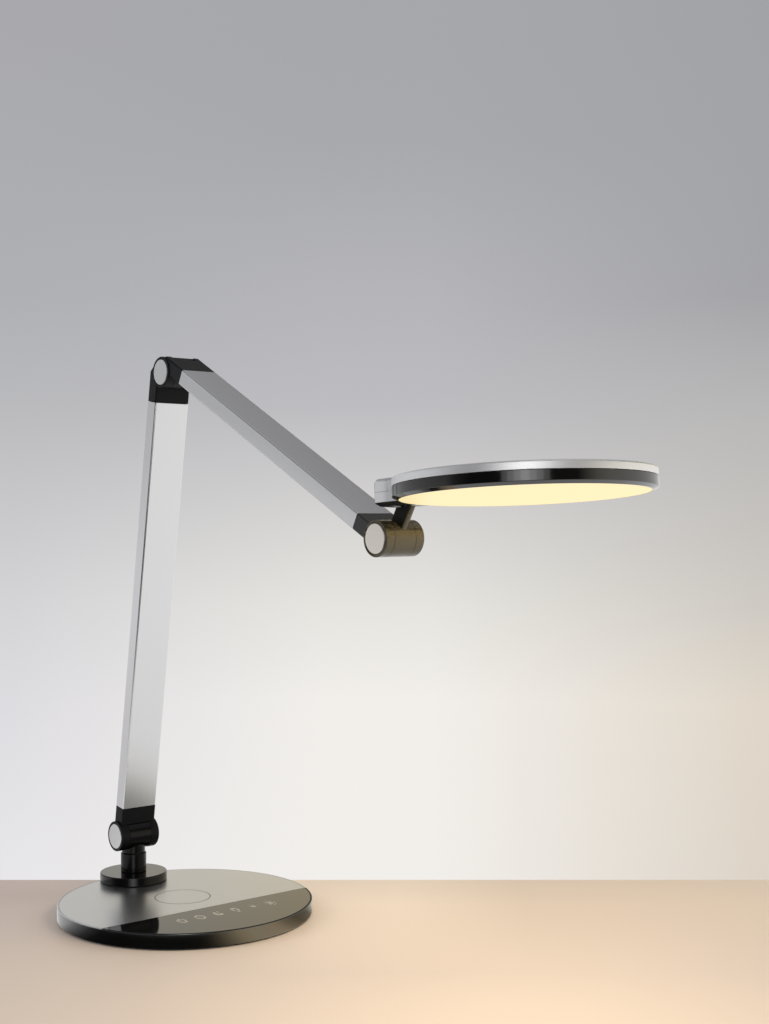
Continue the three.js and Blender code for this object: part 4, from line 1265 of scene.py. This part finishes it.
# %% Wall behind the lamp, as the camera sees it
world = bpy.data.worlds.new("studio")
scene.world = world
world.use_nodes = True
tree = world.node_tree
tree.nodes.clear()
direction = add_node(tree, "TexCoord").outputs["Generated"]
along = measure(direction, look)
aside = measure(direction, right)
height = measure(direction, (0, 0, 1))
wall_left = shades(height, [
    (-0.24, (0.81, 0.80, 0.82)), (-0.13, (0.73, 0.72, 0.75)), (-0.06, (0.66, 0.66, 0.68)),
    (0.07, (0.49, 0.49, 0.51)), (0.14, (0.425, 0.434, 0.455)), (0.3, (0.40, 0.398, 0.42)),
])
wall_middle = shades(height, [
    (-0.24, (0.89, 0.865, 0.83)), (-0.125, (0.888, 0.863, 0.83)), (-0.06, (0.79, 0.775, 0.735)),
    (0.07, (0.51, 0.505, 0.53)), (0.14, (0.465, 0.462, 0.49)), (0.24, (0.39, 0.397, 0.418)),
    (0.3, (0.385, 0.39, 0.41)),
])
wall_right = shades(height, [
    (-0.24, (0.72, 0.65, 0.565)), (-0.125, (0.75, 0.68, 0.59)), (-0.06, (0.62, 0.59, 0.55)),
    (0.07, (0.48, 0.475, 0.475)), (0.14, (0.376, 0.376, 0.397)), (0.3, (0.356, 0.366, 0.386)),
])
wall_seen = mixed(spread_between(aside, -0.24, -0.04), wall_left, wall_middle)
wall_seen = mixed(spread_between(aside, 0.03, 0.24), wall_seen, wall_right)

# %% [markdown]
# The room is made like the wall: one ramp of colours by height for its left side and one for
# its right side. A ramp by depth then darkens whatever lies in front of the lamp.

# %% Room that gloss and metal see
room_left = shades(height, [
    (-0.2, (0.58, 0.58, 0.59)), (-0.05, (0.92, 0.92, 0.93)), (0.02, (0.58, 0.58, 0.59)),
    (0.1, (0.34, 0.34, 0.36)), (0.24, (0.95, 0.98, 1.0)), (0.5, (0.3, 0.3, 0.31)),
])
room_right = shades(height, [
    (-0.3, 1.0), (0.1, (0.98, 0.97, 0.95)), (0.23, (1.0, 0.87, 0.6)),
    (0.3, (1.0, 0.86, 0.58)), (0.4, 0.2), (0.52, (0.03, 0.03, 0.035)),
    (0.68, (0.46, 0.46, 0.47)),
])
left_depth = shades(along, [(-1, 0.04), (-0.6, 0.05), (-0.4, 0.3), (-0.25, 0.9), (0.1, 1)])
right_depth = shades(along, [(-1, 0.04), (-0.75, 0.05), (-0.5, 0.8), (-0.3, 1), (1, 1)])
left_seen = mixed(1.0, room_left, left_depth, "MULTIPLY")
right_seen = mixed(1.0, room_right, right_depth, "MULTIPLY")
room_seen = mixed(spread_between(aside, -0.25, -0.05), left_seen, right_seen)

# %% [markdown]
# The light path says what kind of ray is asking. The camera and clear plastic get the wall,
# gloss gets the room, and every other ray gets a plain soft light.

# %% World output
path = add_node(tree, "LightPath")


def background(color, strength=1.0):
    node = add_node(tree, "Background", {"Color": color, "Strength": strength})
    return node.outputs["Background"]


soft_light = background((0.88, 0.88, 0.9, 1), 0.6)
shown = chosen(path.outputs["Is Glossy Ray"], soft_light, background(room_seen))
shown = chosen(path.outputs["Is Transmission Ray"], shown, background(wall_seen))
shown = chosen(path.outputs["Is Camera Ray"], shown, background(wall_seen))
add_node(tree, "OutputWorld", {"Surface": shown})
print(len(tree.nodes), "nodes in the world")

# %% [markdown]
# Large lamps give soft shading. The main one stands behind the camera. It has four layers of
# growing width, so that its mirror image fades out at the sides. The two others stand at the
# sides, hidden from gloss, and lift the shadows.

# %% Studio lamps


def area_lamp(name, shape, size, power):
    data = bpy.data.lights.new(name, "AREA")
    data.shape = shape
    data.size = size
    data.energy = power
    lamp = new_object(name, data)
    lamp.visible_camera = False
    lamp.visible_glossy = False
    return lamp


def softbox(name, place, target, width, height, power):
    lamp = area_lamp(name, "RECTANGLE", width, power)
    lamp.data.size_y = height
    lamp.location = place
    aim = Vector(target) - Vector(place)
    lamp.rotation_euler = aim.to_track_quat("-Z", "Y").to_euler()
    return lamp


KEY_LAYERS = 4
KEY_RADIANCE = 0.77
KEY_WIDTH = 0.85
KEY_HEIGHT = 0.9
KEY_AIM = (0, -0.3, 0.3)
KEY_RAISE = Vector((0, 0, 0.25))
SOFT_POWER = 6
for layer in range(KEY_LAYERS):
    key_width = KEY_WIDTH * (layer + 0.6) / KEY_LAYERS
    key_power = KEY_RADIANCE * pi * key_width * KEY_HEIGHT
    key_place = CAMERA_PLACE - look * (0.1 + 0.01 * layer) + KEY_RAISE
    key = softbox(f"key_{layer + 1}", key_place, KEY_AIM, key_width, KEY_HEIGHT, key_power)
    key.visible_glossy = True
softbox("side", (-1.4, 0.6, 0.9), (0, 0, 0.1), 0.7, 1.0, SOFT_POWER)
softbox("fill", (1.3, -0.9, 0.9), (0, -0.1, 0.1), 0.8, 1.0, SOFT_POWER)
print(len(bpy.data.lights), "lamps")

# %% [markdown]
# The lamp's own light is a small warm disc under the diffuser. It is a child of the diffuser,
# so that it goes with the head when a joint turns.

# %% The lamp's own light
glow = area_lamp("glow", "DISK", 0.15, 0.9)
glow.data.color = (1.0, 0.8, 0.5)
glow.matrix_world = TO_METRES @ head_frame @ moved(0, 0, -1.5) @ Matrix.Scale(1 / MM, 4)
glow_place = glow.matrix_world.copy()
glow.parent = opal_disc
glow.matrix_world = glow_place

# %% [markdown]
# ## Last settings
#
# The colours are shown through the standard view transform, and the view layer is updated last.

scene.view_settings.view_transform = "Standard"
bpy.context.view_layer.update()
